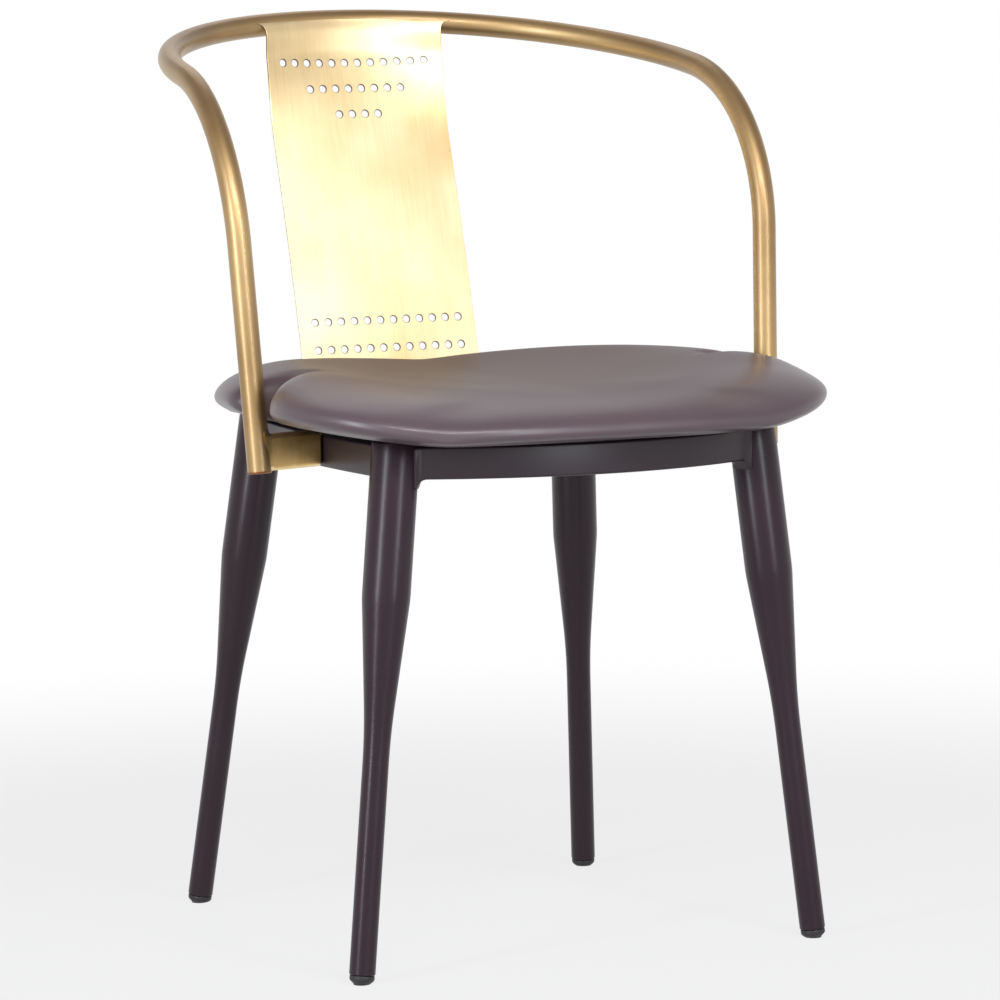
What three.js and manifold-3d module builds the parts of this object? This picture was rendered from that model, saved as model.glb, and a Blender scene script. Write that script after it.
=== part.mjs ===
// Dining armchair: a bent brass hoop and perforated brass splat on a
// powder-coated steel frame with four swaged tube legs and an upholstered
// saddle seat.
// Millimetres, +Z up, the sitter faces -Y, origin on the floor under the
// middle of the whole chair.

import * as THREE from 'three';
import { mergeVertices } from 'three/addons/utils/BufferGeometryUtils.js';
import Module from 'manifold-3d';

const wasm = await Module();
wasm.setup();

// Fits
const seatingGap = 0.3;
const cutOverrun = 40;
const cutReach = 900;
const screwHoleClearance = 0.4;
const weldDistance = 0.0001;
const screwCrownShare = 0.6;

// Steel frame
const railUnderside = 412.5;
const railHeight = 27;
const railThickness = 12;
const railWall = 1.5;
const frontRailBow = 52;
const sideRailBow = 9;
const rearRailSetback = 41;
const rearRailFlatHalf = 100;
const rearRailBendRadius = 60;
const legUpperDiameter = 40;
const legLowerDiameter = 21.8;
const legWall = 1.6;
const legHeadPlug = 9;
const legConeTop = 315.5;
const legConeFoot = 205;
const frontFoot = { x: 210, y: -208 };
const frontHead = { x: 163.8, y: -191.4 };
const rearFoot = { x: 191, y: 208 };
const rearHead = { x: 150.6, y: 133.6 };

// Plastic glides under the legs
const glideCollar = 8;
const glideDiameter = 20.8;
const glideContactDiameter = 13;
const glideChamfer = 3.5;
const glideStemLength = 16;
const glideFit = 0.2;

// Corner plates and the screws that hold the seat
const cornerPlateThickness = 3;
const cornerPlateReach = 74;
const frontScrewFromLeg = { x: 37.8, y: 23.4 };
const rearScrewFromLeg = { x: 33.6, y: -29.6 };
const seatScrewDiameter = 6;
const seatScrewLength = 18;
const seatScrewHeadDiameter = 12;
const seatScrewHeadHeight = 3.4;
const spacerDiameter = 18;
const spacerThickness = 3.4;
const teeNutFlangeDiameter = 19;
const teeNutFlangeThickness = 1.4;
const teeNutBarrelDiameter = 8.6;
const teeNutBarrelLength = 8.4;

// Brass hoop
const hoopTubeDiameter = 20.2;
const hoopTubeWall = 1.5;
const hoopRadius = 243;
const hoopCentre = { y: 56, z: 739.4 };
const hoopTiltDegrees = 10.5;
const hoopCornerFlare = 8;
const hoopCornerReach = 110;
const hoopBendRadius = 157;
const hoopFootToeIn = 4.9;
const hoopFootY = -76.5;
const hoopFootDrop = 1;
const hoopCapCrown = 2.2;
const hoopCapPlug = 9;
const hoopCapFit = 0.45;

// Brass bracket blocks that carry the hoop on the side rails
const bracketHeight = 30.5;
const bracketThickness = 15;
const bracketCornerRadius = 4;
const bracketEdgeRound = 1;
const bracketRise = 1;
const bracketSweepDegrees = 17;
const bracketBoltDiameter = 6;
const bracketBoltSpacing = 15;
const bracketBoltBite = 16;
const bracketBoltHeadDiameter = 10;
const bracketBoltHeadHeight = 5;

// Brass splat
const splatWidth = 172;
const splatThickness = 2;
const splatFootClearance = 3;
const splatSag = 6.3;
const splatRollDepth = 110;
const splatTubeLead = 5;
const splatHoleDiameter = 6.4;
const splatHolePitch = 12.74;
const splatTopRowDrop = 38.4;
const splatTopRowPitch = 23;
const splatTopRowCounts = [12, 8, 4];
const splatTopRowBow = 2.3;
const splatTopRowBowShares = [1, 0.2, 0];
const splatLowRowRise = 51.2;
const splatLowRowPitch = 24.6;
const splatLowRowCounts = [12, 12];
const splatScrewDiameter = 5;
const splatScrewHeadDiameter = 9.5;
const splatScrewHeadHeight = 2.6;
const splatScrewLength = 11;
const splatScrewSpacing = 60;
const splatScrewDrop = 14;

// Upholstered seat
const seatSideOverhang = 15.4;
const seatWidestY = -97.5;
const seatFrontOverhang = 31.6;
const seatSplatClearance = 0.5;
const seatFrontSquareness = 2.79;
const seatRearSquareness = 2.4;
const seatDishDepth = 37.9;
const seatSideRise = 19.5;
const seatSideRiseShare = 0.78;
const seatSideLimitShare = 1.15;
const seatSidePower = 1.43;
const seatFadeStart = 60;
const seatFadeShare = 1.3;
const seatFrontRise = -1.2;
const seatRearRise = 10.1;
const seatFrontRoll = 150;
const seatSideRoll = 95.7;
const seatRearRoll = 63;
const seatRollPower = 1.15;
const seatFlatHalfWidth = 138;
const seatWingLift = 17.5;
const seatRearWingLift = 9.9;
const seatWingGrowth = 110;
const seatWingPower = 1.5;
const seatTuckHeight = 9;
const seatTuckReach = 12;
const seatCoverThickness = 1.3;
const seatBoardThickness = 9;
const seatBoardInset = 13;
const seatCoverTurnIn = 24;
const notchClearance = 15;
const notchFrontHalfWidth = 28.8;
const notchRearHalfWidth = 18;
const notchFrontPower = 3;
const notchRearPower = 5;
const notchFadePower = 3.5;
const notchFacingShare = 0.5;
const crownShares = [0.5, 1];
const rollShares = [0.18, 0.36, 0.54, 0.7, 0.86, 1];
const tuckShares = [0.5, 1];
const slabShares = [0.52, 0.78];
const dustCoverThickness = 0.7;

// Mesh fineness
const tubeHalfSides = 6;
const hoopSteps = 54;
const legSides = 20;
const smallSides = 12;
const holeSides = 8;
const railSteps = 8;
const splatColumns = 8;
const splatRows = 12;
const notchSteps = 12;
const plainSteps = 12;

// Finishes
const paintedSteel = { color: 0x3a2c35, roughness: 0.42, metalness: 0.25 };
const blackPlastic = { color: 0x151316, roughness: 0.6, metalness: 0 };
const rubber = { color: 0x121212, roughness: 0.9, metalness: 0 };
const brushedBrass = { color: 0xb9995a, roughness: 0.34, metalness: 1 };
const darkBrass = { color: 0x9b7b45, roughness: 0.4, metalness: 1 };
const zincSteel = { color: 0x9da0a3, roughness: 0.35, metalness: 1 };
const leatherette = { color: 0x877a80, roughness: 0.5, metalness: 0 };
const plywood = { color: 0xb9946a, roughness: 0.75, metalness: 0 };
const foam = { color: 0xd9d0b4, roughness: 0.95, metalness: 0 };
const blackCloth = { color: 0x1c1b1d, roughness: 0.95, metalness: 0 };

const chair = new THREE.Group();
const sides = [
  { name: 'left', sign: -1 },
  { name: 'right', sign: 1 },
];
const railTop = railUnderside + railHeight;
const railMiddle = (railUnderside + railTop) / 2;
const tall = railTop + cutOverrun;
const hoopFoot = {
  x: hoopRadius - hoopFootToeIn,
  y: hoopFootY,
  z: railUnderside - hoopFootDrop + hoopCapCrown,
};
const hoopCornerHalfWidth = hoopRadius + hoopCornerFlare;

// Geometry helpers

function toSolid(geometry) {
  const bare = geometry.clone();
  bare.deleteAttribute('normal');
  bare.deleteAttribute('uv');
  const merged = mergeVertices(bare, weldDistance);
  return new wasm.Manifold(new wasm.Mesh({
    numProp: 3,
    vertProperties: new Float32Array(merged.attributes.position.array),
    triVerts: new Uint32Array(merged.index.array),
  }));
}

function toGeometry(solid) {
  const mesh = solid.getMesh();
  const geometry = new THREE.BufferGeometry();
  geometry.setAttribute('position', new THREE.BufferAttribute(new Float32Array(mesh.vertProperties), 3));
  geometry.setIndex(new THREE.BufferAttribute(new Uint32Array(mesh.triVerts), 1));
  return geometry;
}

function addPiece(name, solid, finish) {
  const geometry = toGeometry(solid).toNonIndexed();
  geometry.computeVertexNormals();
  const mesh = new THREE.Mesh(geometry, new THREE.MeshStandardMaterial(finish));
  mesh.name = name;
  chair.add(mesh);
}

function box(min, max) {
  const size = new THREE.Vector3().subVectors(max, min);
  const geometry = new THREE.BoxGeometry(size.x, size.y, size.z);
  const middle = min.clone().lerp(max, 0.5);
  return toSolid(geometry.translate(middle.x, middle.y, middle.z));
}

function everythingBelow(height) {
  const low = new THREE.Vector3(-cutReach, -cutReach, height - cutReach);
  return box(low, new THREE.Vector3(cutReach, cutReach, height));
}

function everythingAbove(height) {
  const high = new THREE.Vector3(cutReach, cutReach, height + cutReach);
  return box(new THREE.Vector3(-cutReach, -cutReach, height), high);
}

// A lathe turned about its own Y axis, stood along the line from one point to another
function turned(profile, from, towards, sideCount) {
  const points = profile.map(([radius, along]) => new THREE.Vector2(radius, along));
  const geometry = new THREE.LatheGeometry(points, sideCount);
  const direction = new THREE.Vector3().subVectors(towards, from).normalize();
  const turn = new THREE.Quaternion().setFromUnitVectors(new THREE.Vector3(0, 1, 0), direction);
  geometry.applyQuaternion(turn);
  return toSolid(geometry.translate(from.x, from.y, from.z));
}

function rod(radius, from, to, sideCount) {
  const length = from.distanceTo(to);
  return turned([[0, 0], [radius, 0], [radius, length], [0, length]], from, to, sideCount);
}

// A wall of given thickness that stands on a plan path
function wallAlong(path, thickness, bottom, top) {
  const outer = [];
  const inner = [];
  path.forEach((point, index) => {
    const before = path[Math.max(index - 1, 0)];
    const after = path[Math.min(index + 1, path.length - 1)];
    const tangent = new THREE.Vector2().subVectors(after, before).normalize();
    const normal = new THREE.Vector2(tangent.y, -tangent.x).multiplyScalar(thickness / 2);
    outer.push(new THREE.Vector2().addVectors(point, normal));
    inner.unshift(new THREE.Vector2().subVectors(point, normal));
  });
  const shape = new THREE.Shape([...outer, ...inner]);
  const geometry = new THREE.ExtrudeGeometry(shape, { depth: top - bottom, bevelEnabled: false });
  return toSolid(geometry.translate(0, 0, bottom));
}

function prism(outline, bottom, top) {
  const shape = new THREE.Shape(outline.map((point) => new THREE.Vector2(point.x, point.y)));
  const geometry = new THREE.ExtrudeGeometry(shape, { depth: top - bottom, bevelEnabled: false });
  return toSolid(geometry.translate(0, 0, bottom));
}

// Legs: swaged tube, thick above the cone and slim below it

function legLine(foot, head, sign) {
  return {
    foot: new THREE.Vector3(sign * foot.x, foot.y, 0),
    head: new THREE.Vector3(sign * head.x, head.y, railTop),
  };
}

function alongLeg(line, height) {
  return height * line.foot.distanceTo(line.head) / railTop;
}

function pointOnLeg(line, height) {
  return new THREE.Vector3().lerpVectors(line.foot, line.head, height / railTop);
}

function legEnvelope(line, extra) {
  const slim = legLowerDiameter / 2 + extra;
  const thick = legUpperDiameter / 2 + extra;
  const end = alongLeg(line, tall);
  return turned([
    [0, 0],
    [slim, 0],
    [slim, alongLeg(line, legConeFoot)],
    [thick, alongLeg(line, legConeTop)],
    [thick, end],
    [0, end],
  ], line.foot, line.head, legSides);
}

function leg(line) {
  const seam = glideCollar;
  const slim = legLowerDiameter / 2;
  const thick = legUpperDiameter / 2;
  const end = alongLeg(line, tall);
  const plugUnderside = alongLeg(line, railTop) - legHeadPlug;
  const body = turned([
    [0, plugUnderside],
    [thick - legWall, plugUnderside],
    [thick - legWall, alongLeg(line, legConeTop)],
    [slim - legWall, alongLeg(line, legConeFoot)],
    [slim - legWall, seam],
    [slim, seam],
    [slim, alongLeg(line, legConeFoot)],
    [thick, alongLeg(line, legConeTop)],
    [thick, end],
    [0, end],
  ], line.foot, line.head, legSides);
  return body.subtract(everythingAbove(railTop));
}

function glide(line) {
  const stem = legLowerDiameter / 2 - legWall - glideFit;
  const collar = glideDiameter / 2;
  const contact = glideContactDiameter / 2;
  const stemTop = glideCollar + glideStemLength;
  const body = turned([
    [0, -glideChamfer],
    [contact, -glideChamfer],
    [contact, 0],
    [collar, glideChamfer],
    [collar, glideCollar - seatingGap],
    [stem, glideCollar - seatingGap],
    [stem, stemTop - stem / 4],
    [stem * 3 / 4, stemTop],
    [0, stemTop],
  ], line.foot, line.head, smallSides);
  return body.subtract(everythingBelow(0));
}

const corners = [
  { name: 'front', foot: frontFoot, head: frontHead, screw: frontScrewFromLeg },
  { name: 'rear', foot: rearFoot, head: rearHead, screw: rearScrewFromLeg },
];

for (const side of sides) {
  for (const corner of corners) {
    const line = legLine(corner.foot, corner.head, side.sign);
    addPiece(`leg_${corner.name}_${side.name}`, leg(line), paintedSteel);
    addPiece(`glide_${corner.name}_${side.name}`, glide(line), blackPlastic);
  }
}

// Rails: flat rectangular tube bent to the seat's outline

function legCentre(corner, sign) {
  const centre = pointOnLeg(legLine(corner.foot, corner.head, sign), railMiddle);
  return new THREE.Vector2(centre.x, centre.y);
}

// A shallow arc from one point to another that bulges to the right of its direction
function bowedPath(start, end, bow) {
  const middle = start.clone().lerp(end, 0.5);
  const chord = new THREE.Vector2().subVectors(end, start);
  const outward = new THREE.Vector2(chord.y, -chord.x).normalize();
  const halfChord = chord.length() / 2;
  const radius = (halfChord * halfChord + bow * bow) / (2 * bow);
  const centre = middle.clone().addScaledVector(outward, bow - radius);
  const sweep = Math.asin(halfChord / radius);
  const along = chord.clone().normalize();
  return Array.from({ length: railSteps + 1 }, (unused, index) => {
    const angle = sweep * (2 * index / railSteps - 1);
    return centre.clone()
      .addScaledVector(outward, radius * Math.cos(angle))
      .addScaledVector(along, radius * Math.sin(angle));
  });
}

// A path through corner points with the same bend radius at each inner one
function bentPath(cornerPoints, bendRadius) {
  const path = [cornerPoints[0]];
  for (let index = 1; index < cornerPoints.length - 1; index += 1) {
    const corner = cornerPoints[index];
    const back = new THREE.Vector2().subVectors(cornerPoints[index - 1], corner).normalize();
    const ahead = new THREE.Vector2().subVectors(cornerPoints[index + 1], corner).normalize();
    const halfAngle = Math.acos(THREE.MathUtils.clamp(back.dot(ahead), -1, 1)) / 2;
    const bisector = new THREE.Vector2().addVectors(back, ahead).normalize();
    const centre = corner.clone().addScaledVector(bisector, bendRadius / Math.sin(halfAngle));
    const start = corner.clone().addScaledVector(back, bendRadius / Math.tan(halfAngle));
    const first = new THREE.Vector2().subVectors(start, centre);
    const sweep = Math.PI - 2 * halfAngle;
    const turnSign = Math.sign(back.cross(ahead)) * -1;
    const steps = railSteps / 2;
    for (let step = 0; step <= steps; step += 1) {
      const spoke = first.clone().rotateAround(new THREE.Vector2(), turnSign * sweep * step / steps);
      path.push(centre.clone().add(spoke));
    }
  }
  path.push(cornerPoints[cornerPoints.length - 1]);
  return path;
}

const frontLeft = legCentre(corners[0], -1);
const frontRight = legCentre(corners[0], 1);
const rearLeft = legCentre(corners[1], -1);
const rearRight = legCentre(corners[1], 1);
const rearRailY = rearLeft.y + rearRailSetback;

const railPaths = {
  front: bowedPath(frontLeft, frontRight, frontRailBow),
  right: bowedPath(frontRight, rearRight, sideRailBow),
  rear: bentPath([
    rearRight,
    new THREE.Vector2(rearRailFlatHalf, rearRailY),
    new THREE.Vector2(-rearRailFlatHalf, rearRailY),
    rearLeft,
  ], rearRailBendRadius),
  left: bowedPath(rearLeft, frontLeft, sideRailBow),
};

let legEnvelopes = null;
for (const side of sides) {
  for (const corner of corners) {
    const envelope = legEnvelope(legLine(corner.foot, corner.head, side.sign), seatingGap);
    legEnvelopes = legEnvelopes ? legEnvelopes.add(envelope) : envelope;
  }
}

function extendedPath(path) {
  const first = new THREE.Vector2().subVectors(path[0], path[1]).setLength(railThickness).add(path[0]);
  const last = path[path.length - 1];
  const beforeLast = path[path.length - 2];
  const end = new THREE.Vector2().subVectors(last, beforeLast).setLength(railThickness).add(last);
  return [first, ...path, end];
}

function rail(path) {
  const outside = wallAlong(path, railThickness, railUnderside, railTop);
  const bore = wallAlong(
    extendedPath(path),
    railThickness - 2 * railWall,
    railUnderside + railWall,
    railTop - railWall,
  );
  return outside.subtract(bore).subtract(legEnvelopes);
}

const rails = Object.fromEntries(Object.entries(railPaths).map(([name, path]) => [name, rail(path)]));

// Brass hoop: an arc in a tilted plane, bent down at both fronts into splayed uprights

class PlanarArc extends THREE.Curve {
  constructor(centre, startSpoke, endDirection, sweep) {
    super();
    this.centre = centre;
    this.startSpoke = startSpoke;
    this.endDirection = endDirection;
    this.sweep = sweep;
  }

  getPoint(share, target = new THREE.Vector3()) {
    const angle = this.sweep * share;
    const radius = this.startSpoke.length();
    return target.copy(this.centre)
      .addScaledVector(this.startSpoke, Math.cos(angle))
      .addScaledVector(this.endDirection, radius * Math.sin(angle));
  }
}

const hoopTilt = THREE.MathUtils.degToRad(hoopTiltDegrees);
const hoopMiddle = new THREE.Vector3(0, hoopCentre.y, hoopCentre.z);
const hoopAcross = new THREE.Vector3(1, 0, 0);
const hoopBack = new THREE.Vector3(0, Math.cos(hoopTilt), Math.sin(hoopTilt));

function inHoopPlane(across, back) {
  return hoopMiddle.clone().addScaledVector(hoopAcross, across).addScaledVector(hoopBack, back);
}

const cornerDistance = Math.hypot(hoopCornerHalfWidth, hoopCornerReach);
const cornerAngle = Math.atan2(hoopCornerReach, hoopCornerHalfWidth);
const tangentAngle = Math.acos(hoopRadius / cornerDistance) - cornerAngle;

function uprightOf(sign) {
  const foot = new THREE.Vector3(sign * hoopFoot.x, hoopFoot.y, hoopFoot.z);
  const corner = inHoopPlane(sign * hoopCornerHalfWidth, -hoopCornerReach);
  const arcStart = inHoopPlane(
    sign * hoopRadius * Math.cos(tangentAngle),
    hoopRadius * Math.sin(tangentAngle),
  );
  const down = new THREE.Vector3().subVectors(foot, corner).normalize();
  const along = new THREE.Vector3().subVectors(arcStart, corner).normalize();
  const halfAngle = down.angleTo(along) / 2;
  const bendReach = hoopBendRadius / Math.tan(halfAngle);
  const bendStart = corner.clone().addScaledVector(down, bendReach);
  const bendEnd = corner.clone().addScaledVector(along, bendReach);
  const bisector = new THREE.Vector3().addVectors(down, along).normalize();
  const bendCentre = corner.clone().addScaledVector(bisector, hoopBendRadius / Math.sin(halfAngle));
  return { foot, corner, arcStart, down, along, halfAngle, bendStart, bendEnd, bendCentre };
}

function hoopPath() {
  const left = uprightOf(-1);
  const right = uprightOf(1);
  const path = new THREE.CurvePath();
  const bendSweep = Math.PI - 2 * left.halfAngle;
  path.add(new THREE.LineCurve3(left.foot, left.bendStart));
  path.add(new PlanarArc(
    left.bendCentre,
    new THREE.Vector3().subVectors(left.bendStart, left.bendCentre),
    left.down.clone().negate(),
    bendSweep,
  ));
  path.add(new THREE.LineCurve3(left.bendEnd, left.arcStart));
  const arcDirection = new THREE.Vector3().subVectors(left.arcStart, left.corner).normalize();
  path.add(new PlanarArc(
    hoopMiddle,
    new THREE.Vector3().subVectors(left.arcStart, hoopMiddle),
    arcDirection,
    Math.PI - 2 * tangentAngle,
  ));
  path.add(new THREE.LineCurve3(right.arcStart, right.bendEnd));
  path.add(new PlanarArc(
    right.bendCentre,
    new THREE.Vector3().subVectors(right.bendEnd, right.bendCentre),
    right.along.clone().negate(),
    bendSweep,
  ));
  path.add(new THREE.LineCurve3(right.bendStart, right.foot));
  return path;
}

function roundSection(radius, bore) {
  const section = new THREE.Shape();
  section.absarc(0, 0, radius, 0, Math.PI * 2, false);
  if (bore > 0) {
    const hole = new THREE.Path();
    hole.absarc(0, 0, bore, 0, Math.PI * 2, true);
    section.holes.push(hole);
  }
  return section;
}

function hoopTube(radius, bore) {
  return toSolid(new THREE.ExtrudeGeometry(roundSection(radius, bore), {
    steps: hoopSteps,
    curveSegments: tubeHalfSides,
    bevelEnabled: false,
    extrudePath: hoopPath(),
  }));
}

const hoopTubeRadius = hoopTubeDiameter / 2;
addPiece('hoop_tube', hoopTube(hoopTubeRadius, hoopTubeRadius - hoopTubeWall), brushedBrass);

function hoopCap(sign) {
  const upright = uprightOf(sign);
  const plug = hoopTubeRadius - hoopTubeWall - hoopCapFit;
  const profile = [
    [0, -hoopCapCrown],
    [hoopTubeRadius - hoopCapCrown, -hoopCapCrown],
    [hoopTubeRadius - hoopCapCrown * (1 - Math.SQRT1_2), -hoopCapCrown * Math.SQRT1_2],
    [hoopTubeRadius, 0],
    [hoopTubeRadius, hoopCapCrown / 4],
    [plug, hoopCapCrown / 4],
    [plug, hoopCapPlug],
    [0, hoopCapPlug],
  ];
  const seat = upright.foot.clone().addScaledVector(upright.down, hoopCapCrown / 4 + seatingGap);
  return turned(profile, seat, upright.corner, smallSides);
}

for (const side of sides) {
  addPiece(`hoop_cap_${side.name}`, hoopCap(side.sign), darkBrass);
}

// Bracket blocks between the uprights and the side rails, bolted from inside the rails

function bracketFrame(sign) {
  const upright = uprightOf(sign);
  const middleHeight = railUnderside + bracketRise + bracketHeight / 2;
  const climb = (middleHeight - upright.foot.z) / (upright.corner.z - upright.foot.z);
  const start = new THREE.Vector3().lerpVectors(upright.foot, upright.corner, climb);
  const sweep = THREE.MathUtils.degToRad(bracketSweepDegrees);
  const inward = new THREE.Vector3(-sign * Math.cos(sweep), Math.sin(sweep), 0);
  return { start, inward, upright };
}

function bracket(sign) {
  const { start, inward, upright } = bracketFrame(sign);
  const length = hoopFoot.x - frontHead.x;
  const shape = new THREE.Shape();
  const halfHeight = bracketHeight / 2 - bracketEdgeRound;
  const corner = bracketCornerRadius;
  const reach = length - bracketEdgeRound;
  shape.moveTo(corner, -halfHeight);
  shape.lineTo(reach - corner, -halfHeight);
  shape.quadraticCurveTo(reach, -halfHeight, reach, -halfHeight + corner);
  shape.lineTo(reach, halfHeight - corner);
  shape.quadraticCurveTo(reach, halfHeight, reach - corner, halfHeight);
  shape.lineTo(corner, halfHeight);
  shape.quadraticCurveTo(0, halfHeight, 0, halfHeight - corner);
  shape.lineTo(0, -halfHeight + corner);
  shape.quadraticCurveTo(0, -halfHeight, corner, -halfHeight);
  const depth = bracketThickness - 2 * bracketEdgeRound;
  const geometry = new THREE.ExtrudeGeometry(shape, {
    depth,
    bevelThickness: bracketEdgeRound,
    bevelSize: bracketEdgeRound,
    bevelSegments: 2,
    curveSegments: 3,
  });
  geometry.translate(0, 0, -depth / 2);
  const upward = new THREE.Vector3(0, 0, 1);
  const sideways = new THREE.Vector3().crossVectors(inward, upward);
  geometry.applyMatrix4(new THREE.Matrix4().makeBasis(inward, upward, sideways).setPosition(start));
  const tubeEnd = upright.foot.clone().addScaledVector(upright.down, cutOverrun);
  const tube = rod(hoopTubeRadius + seatingGap, tubeEnd, upright.corner, legSides);
  return toSolid(geometry).subtract(tube);
}

function bracketRailTrim(path) {
  const kept = wallAlong(extendedPath(path), railThickness + 2 * seatingGap, -cutOverrun, tall);
  const inside = prism(path, -cutOverrun, tall);
  return kept.add(inside);
}

function boltAxis(sign, offset) {
  const { start, inward } = bracketFrame(sign);
  const path = sign < 0 ? railPaths.left : railPaths.right;
  const level = start.clone();
  level.z += offset;
  let crossing = 0;
  let lean = 0;
  for (let index = 0; index < path.length - 1; index += 1) {
    const a = path[index];
    const b = path[index + 1];
    const edge = new THREE.Vector2().subVectors(b, a);
    const toStart = new THREE.Vector2(level.x - a.x, level.y - a.y);
    const heading = new THREE.Vector2(inward.x, inward.y);
    const denominator = edge.cross(heading);
    const share = toStart.cross(heading) / denominator;
    if (share >= 0 && share <= 1) {
      crossing = toStart.cross(edge) / denominator;
      lean = Math.PI / 2 - Math.acos(Math.abs(edge.dot(heading)) / edge.length());
    }
  }
  return { level, inward, crossing, lean };
}

function boltOffsets() {
  return [-bracketBoltSpacing / 2, bracketBoltSpacing / 2];
}

for (const side of sides) {
  const railName = side.name;
  let block = bracket(side.sign).subtract(bracketRailTrim(railPaths[railName]));
  boltOffsets().forEach((offset, index) => {
    const { level, inward, crossing, lean } = boltAxis(side.sign, offset);
    const shankRadius = bracketBoltDiameter / 2;
    const holeRadius = shankRadius + screwHoleClearance / 2;
    const seat = level.clone().addScaledVector(inward, crossing + railThickness);
    const railInner = level.clone().addScaledVector(inward, crossing);
    const tip = level.clone().addScaledVector(inward, crossing - railThickness / 2 - bracketBoltBite);
    const holeEnd = tip.clone().addScaledVector(inward, -screwHoleClearance);
    const hole = rod(holeRadius, holeEnd, seat, smallSides);
    block = block.subtract(hole);
    rails[railName] = rails[railName].subtract(hole);
    const headRadius = bracketBoltHeadDiameter / 2;
    const faceDistance = (railThickness / 2 + seatingGap) / Math.cos(lean) + headRadius * Math.tan(lean);
    const headFace = railInner.clone().addScaledVector(inward, faceDistance);
    const length = headFace.distanceTo(tip);
    const profile = [
      [0, 0],
      [shankRadius, 0],
      [shankRadius, length],
      [headRadius, length],
      [headRadius, length + bracketBoltHeadHeight],
      [0, length + bracketBoltHeadHeight],
    ];
    const bolt = turned(profile, tip, seat, smallSides);
    addPiece(`bracket_bolt_${side.name}_${index + 1}`, bolt, zincSteel);
  });
  addPiece(`bracket_${side.name}`, block, darkBrass);
}

// Splat: one perforated sheet that follows the hoop at its head and is flat below

const splatFootY = rearRailY + railThickness / 2 + seatingGap + splatThickness / 2;
const hoopRearZ = hoopCentre.z + hoopRadius * Math.sin(hoopTilt);
const splatHeadY = hoopCentre.y + hoopRadius * Math.cos(hoopTilt) - splatTubeLead;

function hoopAt(x) {
  const back = Math.sqrt(hoopRadius * hoopRadius - x * x);
  return inHoopPlane(x, back);
}

// How far the sheet takes the hoop's curve at a height, from 1 at the tube to 0 below the roll
function rollShare(height) {
  const below = Math.max(hoopRearZ - height, 0);
  return below >= splatRollDepth ? 0 : (1 + Math.cos(Math.PI * below / splatRollDepth)) / 2;
}

function splatPoint(x, height) {
  const climbShare = THREE.MathUtils.clamp((height - railTop) / (hoopRearZ - railTop), 0, 1);
  const straight = THREE.MathUtils.lerp(splatFootY, splatHeadY, climbShare);
  const sag = 4 * splatSag * climbShare * (1 - climbShare);
  const curve = (hoopAt(0).y - hoopAt(x).y) * rollShare(height);
  return new THREE.Vector3(x, straight - sag - curve, height);
}

function splatNormal(x, height) {
  const nudge = splatThickness / 10;
  const acrossTangent = splatPoint(x + nudge, height).sub(splatPoint(x - nudge, height));
  const upTangent = splatPoint(x, height + nudge).sub(splatPoint(x, height - nudge));
  return acrossTangent.cross(upTangent).normalize();
}

// A closed sheet from a grid of middle points and normals
function sheetSolid(columnCount, rowCount, pointAt, normalAt, thickness) {
  const vertices = [];
  const triangles = [];
  const half = thickness / 2;
  const rowLength = columnCount + 1;
  const layer = rowLength * (rowCount + 1);
  for (const offset of [half, -half]) {
    for (let row = 0; row <= rowCount; row += 1) {
      for (let column = 0; column <= columnCount; column += 1) {
        const point = pointAt(column, row).addScaledVector(normalAt(column, row), offset);
        vertices.push(point.x, point.y, point.z);
      }
    }
  }
  const quad = (a, b, c, d) => triangles.push(a, b, c, a, c, d);
  for (let row = 0; row < rowCount; row += 1) {
    for (let column = 0; column < columnCount; column += 1) {
      const a = row * rowLength + column;
      quad(a, a + 1, a + 1 + rowLength, a + rowLength);
      quad(layer + a, layer + a + rowLength, layer + a + 1 + rowLength, layer + a + 1);
    }
  }
  for (let column = 0; column < columnCount; column += 1) {
    const low = column;
    const high = rowCount * rowLength + column;
    quad(low, layer + low, layer + low + 1, low + 1);
    quad(high, high + 1, layer + high + 1, layer + high);
  }
  for (let row = 0; row < rowCount; row += 1) {
    const near = row * rowLength;
    const far = near + columnCount;
    quad(near, near + rowLength, layer + near + rowLength, layer + near);
    quad(far, layer + far, layer + far + rowLength, far + rowLength);
  }
  const geometry = new THREE.BufferGeometry();
  geometry.setAttribute('position', new THREE.Float32BufferAttribute(vertices, 3));
  geometry.setIndex(triangles);
  return toSolid(geometry);
}

const splatFootZ = railUnderside + splatFootClearance;

function splatSheet() {
  const xOf = (column) => splatWidth * (column / splatColumns - 0.5);
  const heightOf = (column, row) => {
    const top = hoopAt(xOf(column)).z;
    const shares = [0, (railTop - splatFootZ) / (top - splatFootZ)];
    const share = row <= 1 ? shares[row] : shares[1] + (1 - shares[1]) * (row - 1) / (splatRows - 1);
    return splatFootZ + (top - splatFootZ) * share;
  };
  return sheetSolid(
    splatColumns,
    splatRows,
    (column, row) => splatPoint(xOf(column), heightOf(column, row)),
    (column, row) => splatNormal(xOf(column), heightOf(column, row)),
    splatThickness,
  );
}

const splatHoleRows = [
  ...splatTopRowCounts.map((holes, index) => ({
    height: hoopRearZ - splatTopRowDrop - index * splatTopRowPitch,
    holes,
    edgeRise: splatTopRowBow * splatTopRowBowShares[index],
  })),
  ...splatLowRowCounts.map((holes, index) => ({
    height: railTop + splatLowRowRise + index * splatLowRowPitch,
    holes,
    edgeRise: 0,
  })),
];

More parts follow.
